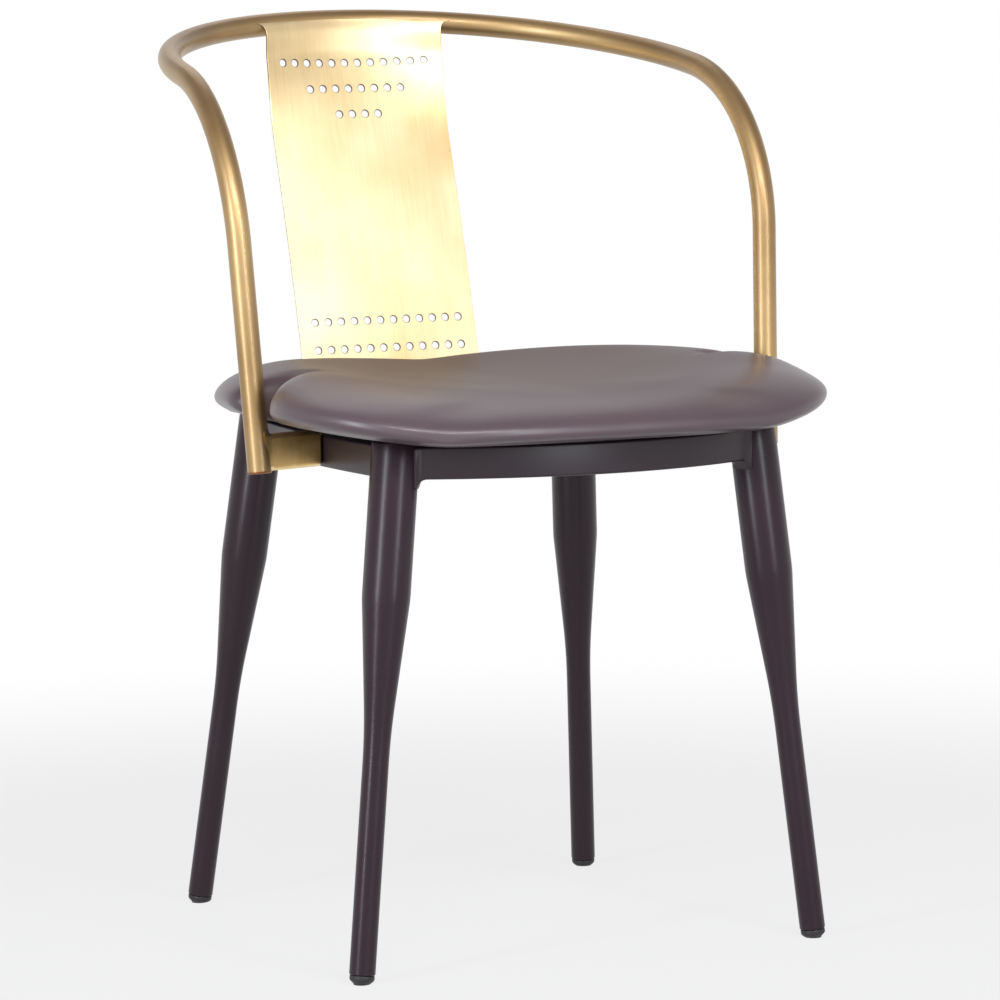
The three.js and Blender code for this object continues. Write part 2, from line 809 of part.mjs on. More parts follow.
function splatHoles() {
  const pieces = [];
  for (const row of splatHoleRows) {
    for (let index = 0; index < row.holes; index += 1) {
      const across = splatHolePitch * (index - (row.holes - 1) / 2);
      const bend = rollShare(row.height) / hoopRadius;
      const x = bend > 0 ? Math.sin(across * bend) / bend : across;
      const rise = row.edgeRise * (2 * across / splatWidth) ** 2;
      const centre = splatPoint(x, row.height + rise);
      const normal = splatNormal(x, row.height + rise).multiplyScalar(splatThickness * 2);
      const start = centre.clone().sub(normal);
      pieces.push(rod(splatHoleDiameter / 2, start, centre.add(normal), holeSides));
    }
  }
  return wasm.Manifold.union(pieces);
}

let splat = splatSheet();
splat = splat.subtract(hoopTube(hoopTubeRadius + seatingGap, 0));
splat = splat.subtract(splatHoles());

[-1, 0, 1].forEach((place, index) => {
  const height = railTop - splatScrewDrop;
  const x = place * splatScrewSpacing;
  const headFace = splatFootY + splatThickness / 2 + seatingGap;
  const shank = splatScrewDiameter / 2;
  const head = splatScrewHeadDiameter / 2;
  const from = new THREE.Vector3(x, headFace - splatScrewLength, height);
  const to = new THREE.Vector3(x, headFace, height);
  const hole = rod(shank + screwHoleClearance / 2, from.clone(), to.clone(), smallSides);
  splat = splat.subtract(hole);
  rails.rear = rails.rear.subtract(hole);
  const profile = [
    [0, screwHoleClearance],
    [shank, screwHoleClearance],
    [shank, splatScrewLength],
    [head, splatScrewLength],
    [head, splatScrewLength + splatScrewHeadHeight / 2],
    [head * screwCrownShare, splatScrewLength + splatScrewHeadHeight],
    [0, splatScrewLength + splatScrewHeadHeight],
  ];
  addPiece(`splat_screw_${index + 1}`, turned(profile, from, to, smallSides), zincSteel);
});
addPiece('splat', splat, brushedBrass);

for (const [name, solid] of Object.entries(rails)) {
  addPiece(`rail_${name}`, solid, paintedSteel);
}

// Corner plates inside the rail ring

const ringOutline = [
  ...railPaths.front,
  ...railPaths.right,
  ...railPaths.rear,
  ...railPaths.left,
];

function ringInterior() {
  let inside = prism(ringOutline, railTop - cornerPlateThickness, railTop);
  for (const path of Object.values(railPaths)) {
    const wall = wallAlong(path, railThickness + 2 * seatingGap, railUnderside, railTop + cutOverrun);
    inside = inside.subtract(wall);
  }
  return inside.subtract(legEnvelopes);
}

// A function that gives the point of a seat screw's axis at a height
function screwAxis(side, corner) {
  const x = side.sign * (corner.head.x - corner.screw.x);
  const y = corner.head.y + corner.screw.y;
  return (height) => new THREE.Vector3(x, y, height);
}

const insideRing = ringInterior();
const boardUnderside = railTop + spacerThickness + 2 * seatingGap;
const seatUnderside = boardUnderside - seatCoverThickness - seatingGap;

for (const side of sides) {
  for (const corner of corners) {
    const centre = legCentre(corner, side.sign);
    const sideways = legCentre(corner, -side.sign).sub(centre).normalize();
    const otherCorner = corners.find((other) => other !== corner);
    const lengthways = legCentre(otherCorner, side.sign).sub(centre).normalize();
    const towards = sideways.add(lengthways).normalize();
    const across = new THREE.Vector2(-towards.y, towards.x);
    const far = centre.clone().addScaledVector(towards, cornerPlateReach);
    const near = centre.clone().addScaledVector(towards, -legUpperDiameter);
    const wide = cornerPlateReach * 2;
    const outline = [
      near.clone().addScaledVector(across, -wide),
      far.clone().addScaledVector(across, -wide),
      far.clone().addScaledVector(across, wide),
      near.clone().addScaledVector(across, wide),
    ];
    const slice = prism(outline, railUnderside, railTop + cutOverrun);
    const bottom = railTop - cornerPlateThickness;
    const spot = screwAxis(side, corner);
    const hole = rod(
      (seatScrewDiameter + screwHoleClearance) / 2,
      spot(railUnderside),
      spot(tall),
      smallSides,
    );
    const plate = insideRing.intersect(slice).subtract(hole);
    const key = `${corner.name}_${side.name}`;
    addPiece(`corner_plate_${key}`, plate, paintedSteel);

    const spacerFoot = spot(railTop + seatingGap);
    const spacerHead = spot(railTop + seatingGap + spacerThickness);
    const spacer = rod(spacerDiameter / 2, spacerFoot, spacerHead, smallSides);
    addPiece(`seat_spacer_${key}`, spacer.subtract(hole), rubber);

    const headTop = bottom - seatingGap;
    const screwProfile = [
      [0, 0],
      [seatScrewHeadDiameter / 2 * screwCrownShare, 0],
      [seatScrewHeadDiameter / 2, seatScrewHeadHeight / 2],
      [seatScrewHeadDiameter / 2, seatScrewHeadHeight],
      [seatScrewDiameter / 2, seatScrewHeadHeight],
      [seatScrewDiameter / 2, seatScrewHeadHeight + seatScrewLength],
      [0, seatScrewHeadHeight + seatScrewLength],
    ];
    const screwFoot = spot(headTop - seatScrewHeadHeight);
    addPiece(`seat_screw_${key}`, turned(screwProfile, screwFoot, spot(tall), smallSides), zincSteel);

    const boardTop = boardUnderside + seatBoardThickness;
    const flangeTop = teeNutBarrelLength + teeNutFlangeThickness;
    const nutBore = (seatScrewDiameter + screwHoleClearance) / 2;
    const nutProfile = [
      [nutBore, 0],
      [teeNutBarrelDiameter / 2, 0],
      [teeNutBarrelDiameter / 2, teeNutBarrelLength],
      [teeNutFlangeDiameter / 2, teeNutBarrelLength],
      [teeNutFlangeDiameter / 2, flangeTop],
      [nutBore, flangeTop],
      [nutBore, 0],
    ];
    const nutFoot = spot(boardTop + seatingGap - teeNutBarrelLength);
    addPiece(`tee_nut_${key}`, turned(nutProfile, nutFoot, spot(tall), smallSides), zincSteel);
  }
}

// Seat: outline, crown and underside as formulas

const seatHalfWidth = hoopFoot.x + seatSideOverhang;
const seatFrontY = frontLeft.y - frontRailBow - railThickness / 2 - seatFrontOverhang;
const seatRearY = splatFootY - splatThickness / 2 - seatSplatClearance;
const seatFrontReach = seatWidestY - seatFrontY;
const seatRearReach = seatRearY - seatWidestY;
const seatMiddleY = (seatFrontY + seatRearY) / 2;

function uprightAt(height) {
  const upright = uprightOf(1);
  const climb = (height - upright.foot.z) / (upright.corner.z - upright.foot.z);
  return new THREE.Vector3().lerpVectors(upright.foot, upright.corner, climb);
}

const notchSpot = uprightAt(railTop + seatDishDepth);
const notchDepth = seatHalfWidth - (notchSpot.x - hoopTubeRadius - notchClearance);

function seatRadius(angle) {
  const forward = Math.sin(angle) < 0;
  const reach = forward ? seatFrontReach : seatRearReach;
  const squareness = forward ? seatFrontSquareness : seatRearSquareness;
  const across = Math.abs(Math.cos(angle)) / seatHalfWidth;
  const along = Math.abs(Math.sin(angle)) / reach;
  return (across ** squareness + along ** squareness) ** (-1 / squareness);
}

function notchShare(y, inset) {
  const behind = y - notchSpot.y;
  if (behind < 0) {
    return 1 / (1 + (-behind / (notchFrontHalfWidth + inset)) ** notchFrontPower);
  }
  return 1 / (1 + (behind / (notchRearHalfWidth + inset)) ** notchRearPower);
}

// A point of the plan, share of the way from the middle to the edge in a direction
function seatPlan(angle, share, inset) {
  const full = seatRadius(angle);
  const edgeY = seatWidestY + full * Math.sin(angle);
  const faces = Math.abs(Math.cos(angle)) > notchFacingShare;
  const notch = faces ? notchDepth * notchShare(edgeY, inset) : 0;
  const radius = share * (full - inset) - notch * share ** notchFadePower;
  return new THREE.Vector2(radius * Math.cos(angle), seatWidestY + radius * Math.sin(angle));
}

// The underside is flat in the middle and lifts to the side wings, more so at the rear
function seatBottom(point) {
  const raised = Math.max(Math.abs(point.x) - seatFlatHalfWidth, 0) / (seatHalfWidth - seatFlatHalfWidth);
  const rearward = THREE.MathUtils.smoothstep(point.y, seatWidestY, seatWidestY + seatWingGrowth);
  return seatUnderside + (seatWingLift + seatRearWingLift * rearward) * raised ** seatWingPower;
}

function seatTop(point) {
  const sideShare = Math.abs(point.x) / seatHalfWidth / seatSideRiseShare;
  const side = seatSideRise * Math.min(sideShare, seatSideLimitShare) ** seatSidePower;
  const fadeY = seatWidestY + seatFadeStart;
  const forward = THREE.MathUtils.clamp((fadeY - point.y) / (fadeY - seatFrontY), 0, 1);
  const depthShare = (point.y - seatMiddleY) / (seatRearY - seatMiddleY);
  const rise = depthShare < 0 ? seatFrontRise : seatRearRise;
  return seatUnderside + seatDishDepth + side * (1 - seatFadeShare * forward ** 2) + rise * depthShare ** 2;
}

// Angles round the seat, close together at the two notches
function seatAngles() {
  const angles = [];
  const notchAngle = Math.atan2(notchSpot.y - seatWidestY, seatHalfWidth);
  const ahead = 2 * notchFrontHalfWidth / seatHalfWidth;
  const behind = 2 * notchRearHalfWidth / seatHalfWidth;
  const right = [notchAngle - ahead, notchAngle + behind];
  const left = [Math.PI - notchAngle - behind, Math.PI - notchAngle + ahead];
  const addSpan = (from, to, steps) => {
    for (let step = 0; step < steps; step += 1) {
      angles.push(from + (to - from) * step / steps);
    }
  };
  addSpan(right[0], right[1], notchSteps);
  addSpan(right[1], left[0], plainSteps);
  addSpan(left[0], left[1], notchSteps);
  addSpan(left[1], right[0] + 2 * Math.PI, plainSteps);
  return angles;
}

// A closed solid from rings of points, with a single point at each end
function solidOfRings(first, rings, last) {
  const count = rings[0].length;
  const vertices = [first.x, first.y, first.z];
  const triangles = [];
  for (const ring of rings) {
    for (const point of ring) {
      vertices.push(point.x, point.y, point.z);
    }
  }
  vertices.push(last.x, last.y, last.z);
  const lastIndex = rings.length * count + 1;
  for (let spoke = 0; spoke < count; spoke += 1) {
    const next = (spoke + 1) % count;
    triangles.push(0, 1 + spoke, 1 + next);
    for (let ring = 0; ring < rings.length - 1; ring += 1) {
      const a = 1 + ring * count + spoke;
      const b = 1 + ring * count + next;
      triangles.push(a, a + count, b + count, a, b + count, b);
    }
    const end = 1 + (rings.length - 1) * count;
    triangles.push(end + spoke, lastIndex, end + next);
  }
  const geometry = new THREE.BufferGeometry();
  geometry.setAttribute('position', new THREE.Float32BufferAttribute(vertices, 3));
  geometry.setIndex(triangles);
  return toSolid(geometry);
}

// Where the top starts to roll over towards the edge, as a share of the way out
function rollStartShare(angle) {
  const depth = Math.sin(angle);
  const end = depth < 0 ? seatFrontRoll : seatRearRoll;
  const width = seatSideRoll + (end - seatSideRoll) * depth ** 2;
  return 1 - width / seatRadius(angle);
}

function seatSolid(inset) {
  const angles = seatAngles();
  const rings = [];
  const height = (point) => seatTop(point) - inset;
  for (const share of crownShares) {
    rings.push(angles.map((angle) => {
      const plan = seatPlan(angle, share * rollStartShare(angle), inset);
      return new THREE.Vector3(plan.x, plan.y, height(plan));
    }));
  }
  for (const turn of rollShares) {
    const sweep = turn * Math.PI / 2;
    rings.push(angles.map((angle) => {
      const start = rollStartShare(angle);
      const plan = seatPlan(angle, start + (1 - start) * Math.sin(sweep), inset);
      const top = height(plan);
      const widest = seatBottom(plan) + seatTuckHeight;
      return new THREE.Vector3(plan.x, plan.y, widest + (top - widest) * Math.cos(sweep) ** seatRollPower);
    }));
  }
  for (const turn of tuckShares) {
    const sweep = turn * Math.PI / 2;
    rings.push(angles.map((angle) => {
      const edge = seatPlan(angle, 1, inset);
      const inward = new THREE.Vector2(edge.x, edge.y - seatWidestY);
      const pull = 1 - seatTuckReach * (1 - Math.cos(sweep)) / inward.length();
      const plan = new THREE.Vector2(edge.x * pull, seatWidestY + inward.y * pull);
      const bottom = seatBottom(plan) + inset;
      const height = bottom + (seatTuckHeight - inset) * (1 - Math.sin(sweep));
      return new THREE.Vector3(plan.x, plan.y, height);
    }));
  }
  for (const share of [...slabShares].reverse()) {
    rings.push(angles.map((angle) => {
      const plan = seatPlan(angle, share, seatBoardInset);
      return new THREE.Vector3(plan.x, plan.y, seatBottom(plan) + inset);
    }));
  }
  const middle = new THREE.Vector2(0, seatWidestY);
  const top = new THREE.Vector3(middle.x, middle.y, seatTop(middle) - inset);
  const bottom = new THREE.Vector3(middle.x, middle.y, seatBottom(middle) + inset);
  return solidOfRings(top, rings, bottom);
}

// A slab that follows the seat's underside between two offsets from it
function seatSlab(inset, low, high) {
  const angles = seatAngles();
  const rings = [];
  const ringAt = (share, shareInset, offset) => angles.map((angle) => {
    const plan = seatPlan(angle, share, shareInset);
    return new THREE.Vector3(plan.x, plan.y, seatBottom(plan) + offset);
  });
  slabShares.forEach((share) => rings.push(ringAt(share, seatBoardInset, high)));
  rings.push(ringAt(1, inset, high));
  rings.push(ringAt(1, inset, low));
  [...slabShares].reverse().forEach((share) => rings.push(ringAt(share, seatBoardInset, low)));
  const middle = new THREE.Vector2(0, seatWidestY);
  const top = new THREE.Vector3(middle.x, middle.y, seatBottom(middle) + high);
  const bottom = new THREE.Vector3(middle.x, middle.y, seatBottom(middle) + low);
  return solidOfRings(top, rings, bottom);
}

const boardLow = seatCoverThickness + seatingGap;
const boardHigh = boardLow + seatBoardThickness;
const padInset = seatCoverThickness + seatingGap;
let board = seatSlab(seatBoardInset, boardLow, boardHigh).intersect(seatSolid(padInset));
let dustCover = seatSlab(
  seatCoverTurnIn + seatingGap * 2,
  boardLow - seatingGap - dustCoverThickness,
  boardLow - seatingGap,
);
dustCover = dustCover.subtract(seatSlab(seatBoardInset, boardLow - seatingGap, boardHigh));
let foamPad = seatSolid(padInset);
foamPad = foamPad.subtract(seatSlab(seatBoardInset - seatingGap, -cutOverrun, boardHigh + seatingGap));
let cover = seatSolid(0).subtract(seatSolid(seatCoverThickness));
cover = cover.subtract(seatSlab(seatCoverTurnIn, -cutOverrun, boardHigh));

for (const side of sides) {
  for (const corner of corners) {
    const spot = screwAxis(side, corner);
    const barrel = rod(teeNutBarrelDiameter / 2 + seatingGap, spot(railUnderside), spot(tall), smallSides);
    const flangeRadius = teeNutFlangeDiameter / 2 + seatingGap;
    const boardTop = boardUnderside + seatBoardThickness;
    const counterbore = rod(flangeRadius, spot(boardTop), spot(tall), smallSides);
    board = board.subtract(barrel).subtract(counterbore);
    const spacerRadius = spacerDiameter / 2 + seatingGap;
    dustCover = dustCover.subtract(rod(spacerRadius, spot(railUnderside), spot(tall), smallSides));
    const pocketTop = railTop - cornerPlateThickness + seatScrewLength + seatingGap;
    foamPad = foamPad.subtract(rod(flangeRadius, spot(railUnderside), spot(pocketTop), smallSides));
  }
}

addPiece('seat_board', board, plywood);
addPiece('seat_foam', foamPad, foam);
addPiece('seat_cover', cover, leatherette);
addPiece('dust_cover', dustCover, blackCloth);

// The origin goes under the middle of the whole outline
const hoopRearY = hoopCentre.y + hoopRadius * Math.cos(hoopTilt) + hoopTubeRadius;
chair.position.y = -(seatFrontY + hoopRearY) / 2;

export default chair;
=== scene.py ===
# Dining armchair with a brass hoop back: the looks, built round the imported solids.
# Sizes in the dictionaries are millimetres; meshes are made in metres.
import math

import bmesh
import bpy
import numpy as np
from mathutils import Matrix, Vector


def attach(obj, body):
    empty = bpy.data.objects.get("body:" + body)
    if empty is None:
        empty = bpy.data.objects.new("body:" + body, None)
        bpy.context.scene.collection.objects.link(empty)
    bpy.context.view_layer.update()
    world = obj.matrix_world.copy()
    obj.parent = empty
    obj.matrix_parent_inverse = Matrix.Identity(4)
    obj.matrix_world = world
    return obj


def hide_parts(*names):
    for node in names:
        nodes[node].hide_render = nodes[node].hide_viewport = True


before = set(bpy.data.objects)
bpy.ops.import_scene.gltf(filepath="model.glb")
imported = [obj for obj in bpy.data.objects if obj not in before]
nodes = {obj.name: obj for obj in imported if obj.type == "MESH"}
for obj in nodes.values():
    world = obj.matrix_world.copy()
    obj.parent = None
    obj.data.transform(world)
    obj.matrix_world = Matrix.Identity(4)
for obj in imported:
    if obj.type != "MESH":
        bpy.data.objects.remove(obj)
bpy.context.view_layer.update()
mm = 0.001
gap = 0.3  # between neighbouring pieces, as in the solids
sides = {"left": -1, "right": 1}


def say(*words):
    print(*words, flush=True)


say("frame loaded:", len(nodes), "solids")


def unit(v):
    v = np.asarray(v, float)
    return v / np.linalg.norm(v)


def smoothstep(x, low, high):
    t = np.clip((x - low) / (high - low), 0, 1)
    return t * t * (3 - 2 * t)


def quarterTurn(count):
    return np.linspace(0, math.pi / 2, count)


def filletRise(distance, radius):
    # how far a hollow fillet stands off its surface at a distance from the joint
    left = np.clip(radius - np.maximum(distance, 0), 0, radius)
    return radius - np.sqrt(np.maximum(radius ** 2 - left ** 2, 0))


def addObject(name, data):
    obj = bpy.data.objects.new(name, data)
    bpy.context.scene.collection.objects.link(obj)
    return obj


def rawMesh(name, points, edges=(), faces=(), shift=True):
    points = np.array(points, float).reshape(-1, 3)
    if shift:
        points[:, 1] += chairShift
    mesh = bpy.data.meshes.new(name)
    mesh.from_pydata((points * mm).tolist(), edges, faces)
    return mesh


def tidyMesh(mesh, smoothAngle):
    bm = bmesh.new()
    bm.from_mesh(mesh)
    bmesh.ops.remove_doubles(bm, verts=bm.verts, dist=1e-7)
    bmesh.ops.recalc_face_normals(bm, faces=bm.faces)
    limit = math.radians(smoothAngle)
    for face in bm.faces:
        face.smooth = True
    for edge in bm.edges:
        edge.smooth = len(edge.link_faces) == 2 and edge.calc_face_angle(0) < limit
    bm.to_mesh(mesh)
    bm.free()
    mesh.update()


def meshObject(name, points, faces, smoothAngle=40, shift=True):
    mesh = rawMesh(name, points, faces=[list(f) for f in faces], shift=shift)
    mesh.validate()
    tidyMesh(mesh, smoothAngle)
    return addObject(name, mesh)


def gridFaces(rows, columns, closeColumns=True, closeRows=False):
    # quads over rows x columns of points, numbered row by row
    faces = []
    for row in range(rows if closeRows else rows - 1):
        above = (row + 1) % rows
        for column in range(columns if closeColumns else columns - 1):
            after = (column + 1) % columns
            faces.append((row * columns + column, row * columns + after,
                          above * columns + after, above * columns + column))
    return faces


def closedRings(name, rings, first=None, last=None, smoothAngle=40):
    # a closed solid from rings of points, with a point or a flat face at each end
    rings = np.asarray(rings, float)
    count, width = rings.shape[:2]
    points, faces = list(rings.reshape(-1, 3)), gridFaces(count, width)
    for tip, start in ((first, 0), (last, (count - 1) * width)):
        loop = list(range(start, start + width))
        if tip is None:
            faces.append(loop)
        else:
            points.append(np.asarray(tip, float))
            faces += [(a, b, len(points) - 1) for a, b in zip(loop, loop[1:] + loop[:1])]
    return meshObject(name, points, faces, smoothAngle)


def spokesRound(direction, count):
    # unit vectors square to a direction, evenly round it
    side = unit(np.cross(direction, [0, 1, 0] if abs(direction[1]) < 0.9 else [1, 0, 0]))
    turn = np.linspace(0, 2 * math.pi, count, endpoint=False)[:, None]
    return np.cos(turn) * side + np.sin(turn) * np.cross(direction, side)


def lathe(name, profile, start=(0, 0, 0), direction=(0, 0, 1), sideCount=48, smoothAngle=35):
    # profile is [(radius, distance along)], from one end to the other
    start, direction = np.asarray(start), unit(direction)
    spoke = spokesRound(direction, sideCount)
    rings = [start + direction * along + spoke * radius for radius, along in profile if radius > 0]
    ends = [start + direction * profile[k][1] for k in (0, -1)]
    return closedRings(name, rings, *ends, smoothAngle)


def atOrigin(obj):
    # helpers that are set elsewhere by a tree aren't moved with the chair
    obj.data.transform(Matrix.Translation((0, -chairShift * mm, 0)))
    return obj


def roundedProfile(corners, radius, steps, most=0.45):
    # a profile whose inner corners are eased by a radius, or by most of a short side
    out = [corners[0]]
    points = np.array(corners, float)
    for before, here, after in zip(points, points[1:], points[2:]):
        back, ahead = before - here, after - here
        reach = min(radius, np.linalg.norm(back) * most, np.linalg.norm(ahead) * most)
        a, b = here + unit(back) * reach, here + unit(ahead) * reach
        for t in np.linspace(0, 1, steps):
            out.append(tuple((1 - t) ** 2 * a + 2 * t * (1 - t) * here + t ** 2 * b))
    out.append(corners[-1])
    return out


def roundedBox(halfWide, halfHigh, radius, steps):
    # points round a rectangle with rounded corners, and the way each one faces
    outline, facing = [], []
    for quarter, signs in enumerate(((1, 1), (-1, 1), (-1, -1), (1, -1))):
        for angle in quarterTurn(steps) + quarter * math.pi / 2:
            away = np.array([math.cos(angle), math.sin(angle)])
            outline.append((np.array([halfWide, halfHigh]) - radius) * signs + away * radius)
            facing.append(away)
    return np.array(outline), np.array(facing)


def respaced(path, count=None, step=None):
    # the same path in evenly spaced points
    length = np.r_[0, np.cumsum(np.linalg.norm(np.diff(path, axis=0), axis=1))]
    at = np.linspace(0, length[-1], count or int(length[-1] / step))
    return np.stack([np.interp(at, length, axis) for axis in path.T], 1)


def pointsOf(mesh):
    flat = np.empty(len(mesh.vertices) * 3)
    mesh.vertices.foreach_get("co", flat)
    return flat.reshape(-1, 3)


def bake(obj, **options):
    # keeps what the modifiers make as a plain mesh
    graph = bpy.context.evaluated_depsgraph_get()
    made = bpy.data.meshes.new_from_object(obj.evaluated_get(graph), depsgraph=graph, **options)
    obj.modifiers.clear()
    obj.data = made
    return made


def dress(obj, *looks):
    obj.data.materials.clear()
    for look in looks:
        obj.data.materials.append(materials[look])


def dressSolids(**looks):
    # the solids that stay in view get a look by the start of their name
    for start, look in looks.items():
        for cadName, node in nodes.items():
            if cadName.startswith(start):
                dress(node, look)


def finishPiece(obj, slotName, *replaced):
    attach(obj, "root")
    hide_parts(*replaced)


class Wiring:
    # short ways to add nodes to a tree and to link them
    def __init__(self, tree):
        self.tree = tree

    def node(self, kind, inputs=(), **settings):
        # an input gets a value, or a link from another node's output
        made = self.tree.nodes.new(kind)
        for label, value in settings.items():
            setattr(made, label, value)
        for socket, value in dict(inputs).items():
            if isinstance(value, bpy.types.NodeSocket):
                self.tree.links.new(value, made.inputs[socket])
            else:
                made.inputs[socket].default_value = value
        return made.outputs

    def calc(self, operation, *values, **settings):
        return self.node("ShaderNodeMath", dict(enumerate(values)), operation=operation,
                         **settings)[0]

    def vectorCalc(self, operation, *values):
        return self.node("ShaderNodeVectorMath", dict(enumerate(values)), operation=operation)

    def blend(self, share, first, second):
        return self.node("ShaderNodeMix", {0: share, 6: first, 7: second}, data_type="RGBA")[2]

    def spread(self, source, low, high, start=0, end=1, ease="LINEAR"):
        ends = {"From Min": start, "From Max": end, "To Min": low, "To Max": high}
        return self.node("ShaderNodeMapRange", {"Value": source, **ends},
                         interpolation_type=ease)["Result"]

    def close(self, **results):
        self.node("NodeGroupOutput", results)
        return self.tree


def nodeGroup(treeKind, name, outputs, inputs):
    # an input is named with its socket kind, or with the default of a number
    tree = bpy.data.node_groups.new(name, treeKind)
    for label, value in inputs.items():
        kind = value if isinstance(value, str) else type(value).__name__.title()
        socket = tree.interface.new_socket(label, in_out="INPUT", socket_type="NodeSocket" + kind)
        if kind != value:
            socket.default_value = value
    for label, kind in outputs.items():
        tree.interface.new_socket(label, in_out="OUTPUT", socket_type="NodeSocket" + kind)
    return Wiring(tree), tree.nodes.new("NodeGroupInput").outputs


def geometryGroup(name, **inputs):
    return nodeGroup("GeometryNodeTree", name, dict(Geometry="Geometry"),
                     dict(Geometry="Geometry", **inputs, Material="Material"))


def closeDressed(wiring, start, geometry):
    dressed = wiring.node("GeometryNodeSetMaterial",
                          {"Geometry": geometry, "Material": start["Material"]})
    return wiring.close(Geometry=dressed["Geometry"])


def runTree(obj, tree, smoothAngle, **values):
    # sets the named inputs, evaluates once and keeps the result as a plain mesh
    modifier = obj.modifiers.new(tree.name, "NODES")
    modifier.node_group = tree
    for item in tree.interface.items_tree:
        if item.name in values:
            modifier[item.identifier] = values[item.name]
    obj.update_tag()
    bpy.context.view_layer.update()
    tidyMesh(bake(obj, preserve_all_data_layers=True), smoothAngle)


def tubeTree():
    # a round tube along a line of points; grainPoint runs along and round the tube
    w, start = geometryGroup("sweptTube", Radius=0.01, Sides=48)

    def capture(kind, label, geometry, value):
        made = w.tree.nodes.new("GeometryNodeCaptureAttribute")
        made.capture_items.new(kind, label)
        w.tree.links.new(geometry, made.inputs["Geometry"])
        w.tree.links.new(value, made.inputs[label])
        return made.outputs

    line = w.node("GeometryNodeMeshToCurve", {"Mesh": start["Geometry"]})
    ring = w.node("GeometryNodeCurvePrimitiveCircle",
                  {"Resolution": start["Sides"], "Radius": start["Radius"]})
    along = capture("FLOAT", "Along", line["Curve"],
                    w.node("GeometryNodeSplineParameter")["Length"])
    around = capture("VECTOR", "Round", ring["Curve"],
                     w.node("GeometryNodeInputPosition")["Position"])
    sweep = w.node("GeometryNodeCurveToMesh", {
        "Curve": along["Geometry"], "Profile Curve": around["Geometry"], "Fill Caps": True})
    split = w.node("ShaderNodeSeparateXYZ", {"Vector": around["Round"]})
    point = w.node("ShaderNodeCombineXYZ", {"X": along["Along"], "Y": split["X"], "Z": split["Y"]})
    store = w.node("GeometryNodeStoreNamedAttribute", {
        "Name": "grainPoint", "Geometry": sweep["Mesh"], "Value": point["Vector"]},
        data_type="FLOAT_VECTOR")
    solid = w.node("GeometryNodeRealizeInstances", {"Geometry": store["Geometry"]})
    return closeDressed(w, start, solid["Geometry"])


def copiesTree():
    # one made piece set on every point, stood along the point's axis and spun a little
    w, start = geometryGroup("copiesOnPoints", Piece="Object", Spin=0.0, Seed=3)
    source = w.node("GeometryNodeObjectInfo", {"Object": start["Piece"]})
    axis = w.node("GeometryNodeInputNamedAttribute", {"Name": "axis"}, data_type="FLOAT_VECTOR")
    stand = w.node("FunctionNodeAlignRotationToVector", {"Vector": axis["Attribute"]}, axis="Z")
    stamp = w.node("GeometryNodeInstanceOnPoints", {
        "Points": start["Geometry"], "Instance": source["Geometry"], "Rotation": stand["Rotation"]})
    draw = w.node("FunctionNodeRandomValue", {
        2: w.calc("MULTIPLY", start["Spin"], -1), 3: start["Spin"], "Seed": start["Seed"]})
    spin = w.node("ShaderNodeCombineXYZ", {"Z": draw[1]})
    turn = w.node("GeometryNodeRotateInstances",
                  {"Instances": stamp["Instances"], "Rotation": spin["Vector"]})
    solid = w.node("GeometryNodeRealizeInstances", {"Geometry": turn["Instances"]})
    return closeDressed(w, start, solid["Geometry"])


def perforateTree():
    # cuts one cutter at every point out of a sheet
    w, start = geometryGroup("perforatedSheet", Sheet="Object", Cutter="Object")
    sheet, cutter = (w.node("GeometryNodeObjectInfo", {"Object": start[label]})["Geometry"]
                     for label in ("Sheet", "Cutter"))
    stamp = w.node("GeometryNodeInstanceOnPoints",
                   {"Points": start["Geometry"], "Instance": cutter})
    solid = w.node("GeometryNodeRealizeInstances", {"Geometry": stamp["Instances"]})
    cut = w.node("GeometryNodeMeshBoolean", {"Mesh 1": sheet, "Mesh 2": solid["Geometry"]},
                 operation="DIFFERENCE", solver="MANIFOLD")
    return closeDressed(w, start, cut["Mesh"])


rails = dict(underside=412.5, height=27, thickness=12, cornerRadius=2.4, frontBow=52, sideBow=9,
             rearSetback=41, rearFlatHalf=100, rearBendRadius=60, bendSteps=24, steps=150,
             cornerSteps=6,
             filletBelow=8, filletBeside=3.2)
legs = dict(upperDiameter=40, lowerDiameter=21.8, coneTop=315.5, coneFoot=205, easeFoot=26,
            easeTop=5, rim=1.4, rimEase=0.3, headRise=5, glideCollar=8, wall=1.6, endRound=0.5,
            sides=56,
            front=dict(foot=(210, -208), head=(163.8, -191.4), screw=(37.8, 23.4)),
            rear=dict(foot=(191, 208), head=(150.6, 133.6), screw=(33.6, -29.6)))
hoop = dict(diameter=20.2, radius=243, centreY=56, centreZ=739.4, tilt=10.5, cornerFlare=8,
            cornerReach=110, bendRadius=157, footToeIn=4.9, footY=-76.5, footDrop=1,
            capCrown=2.2, capRim=2.1, bendSteps=90, backSteps=160, step=4, sides=48)
railTop = rails["underside"] + rails["height"]
railMiddle = rails["underside"] + rails["height"] / 2
hoopFoot = np.array([hoop["radius"] - hoop["footToeIn"], hoop["footY"],
                     rails["underside"] - hoop["footDrop"] + hoop["capCrown"]])
hoopTubeRadius = hoop["diameter"] / 2


def legAt(corner, sign, height):
    place = legs[corner]
    foot = np.array([sign * place["foot"][0], place["foot"][1], 0.0])
    head = np.array([sign * place["head"][0], place["head"][1], railTop])
    return foot + (head - foot) * (height / railTop)


def legCentre(corner, sign):
    return legAt(corner, sign, railMiddle)[:2]


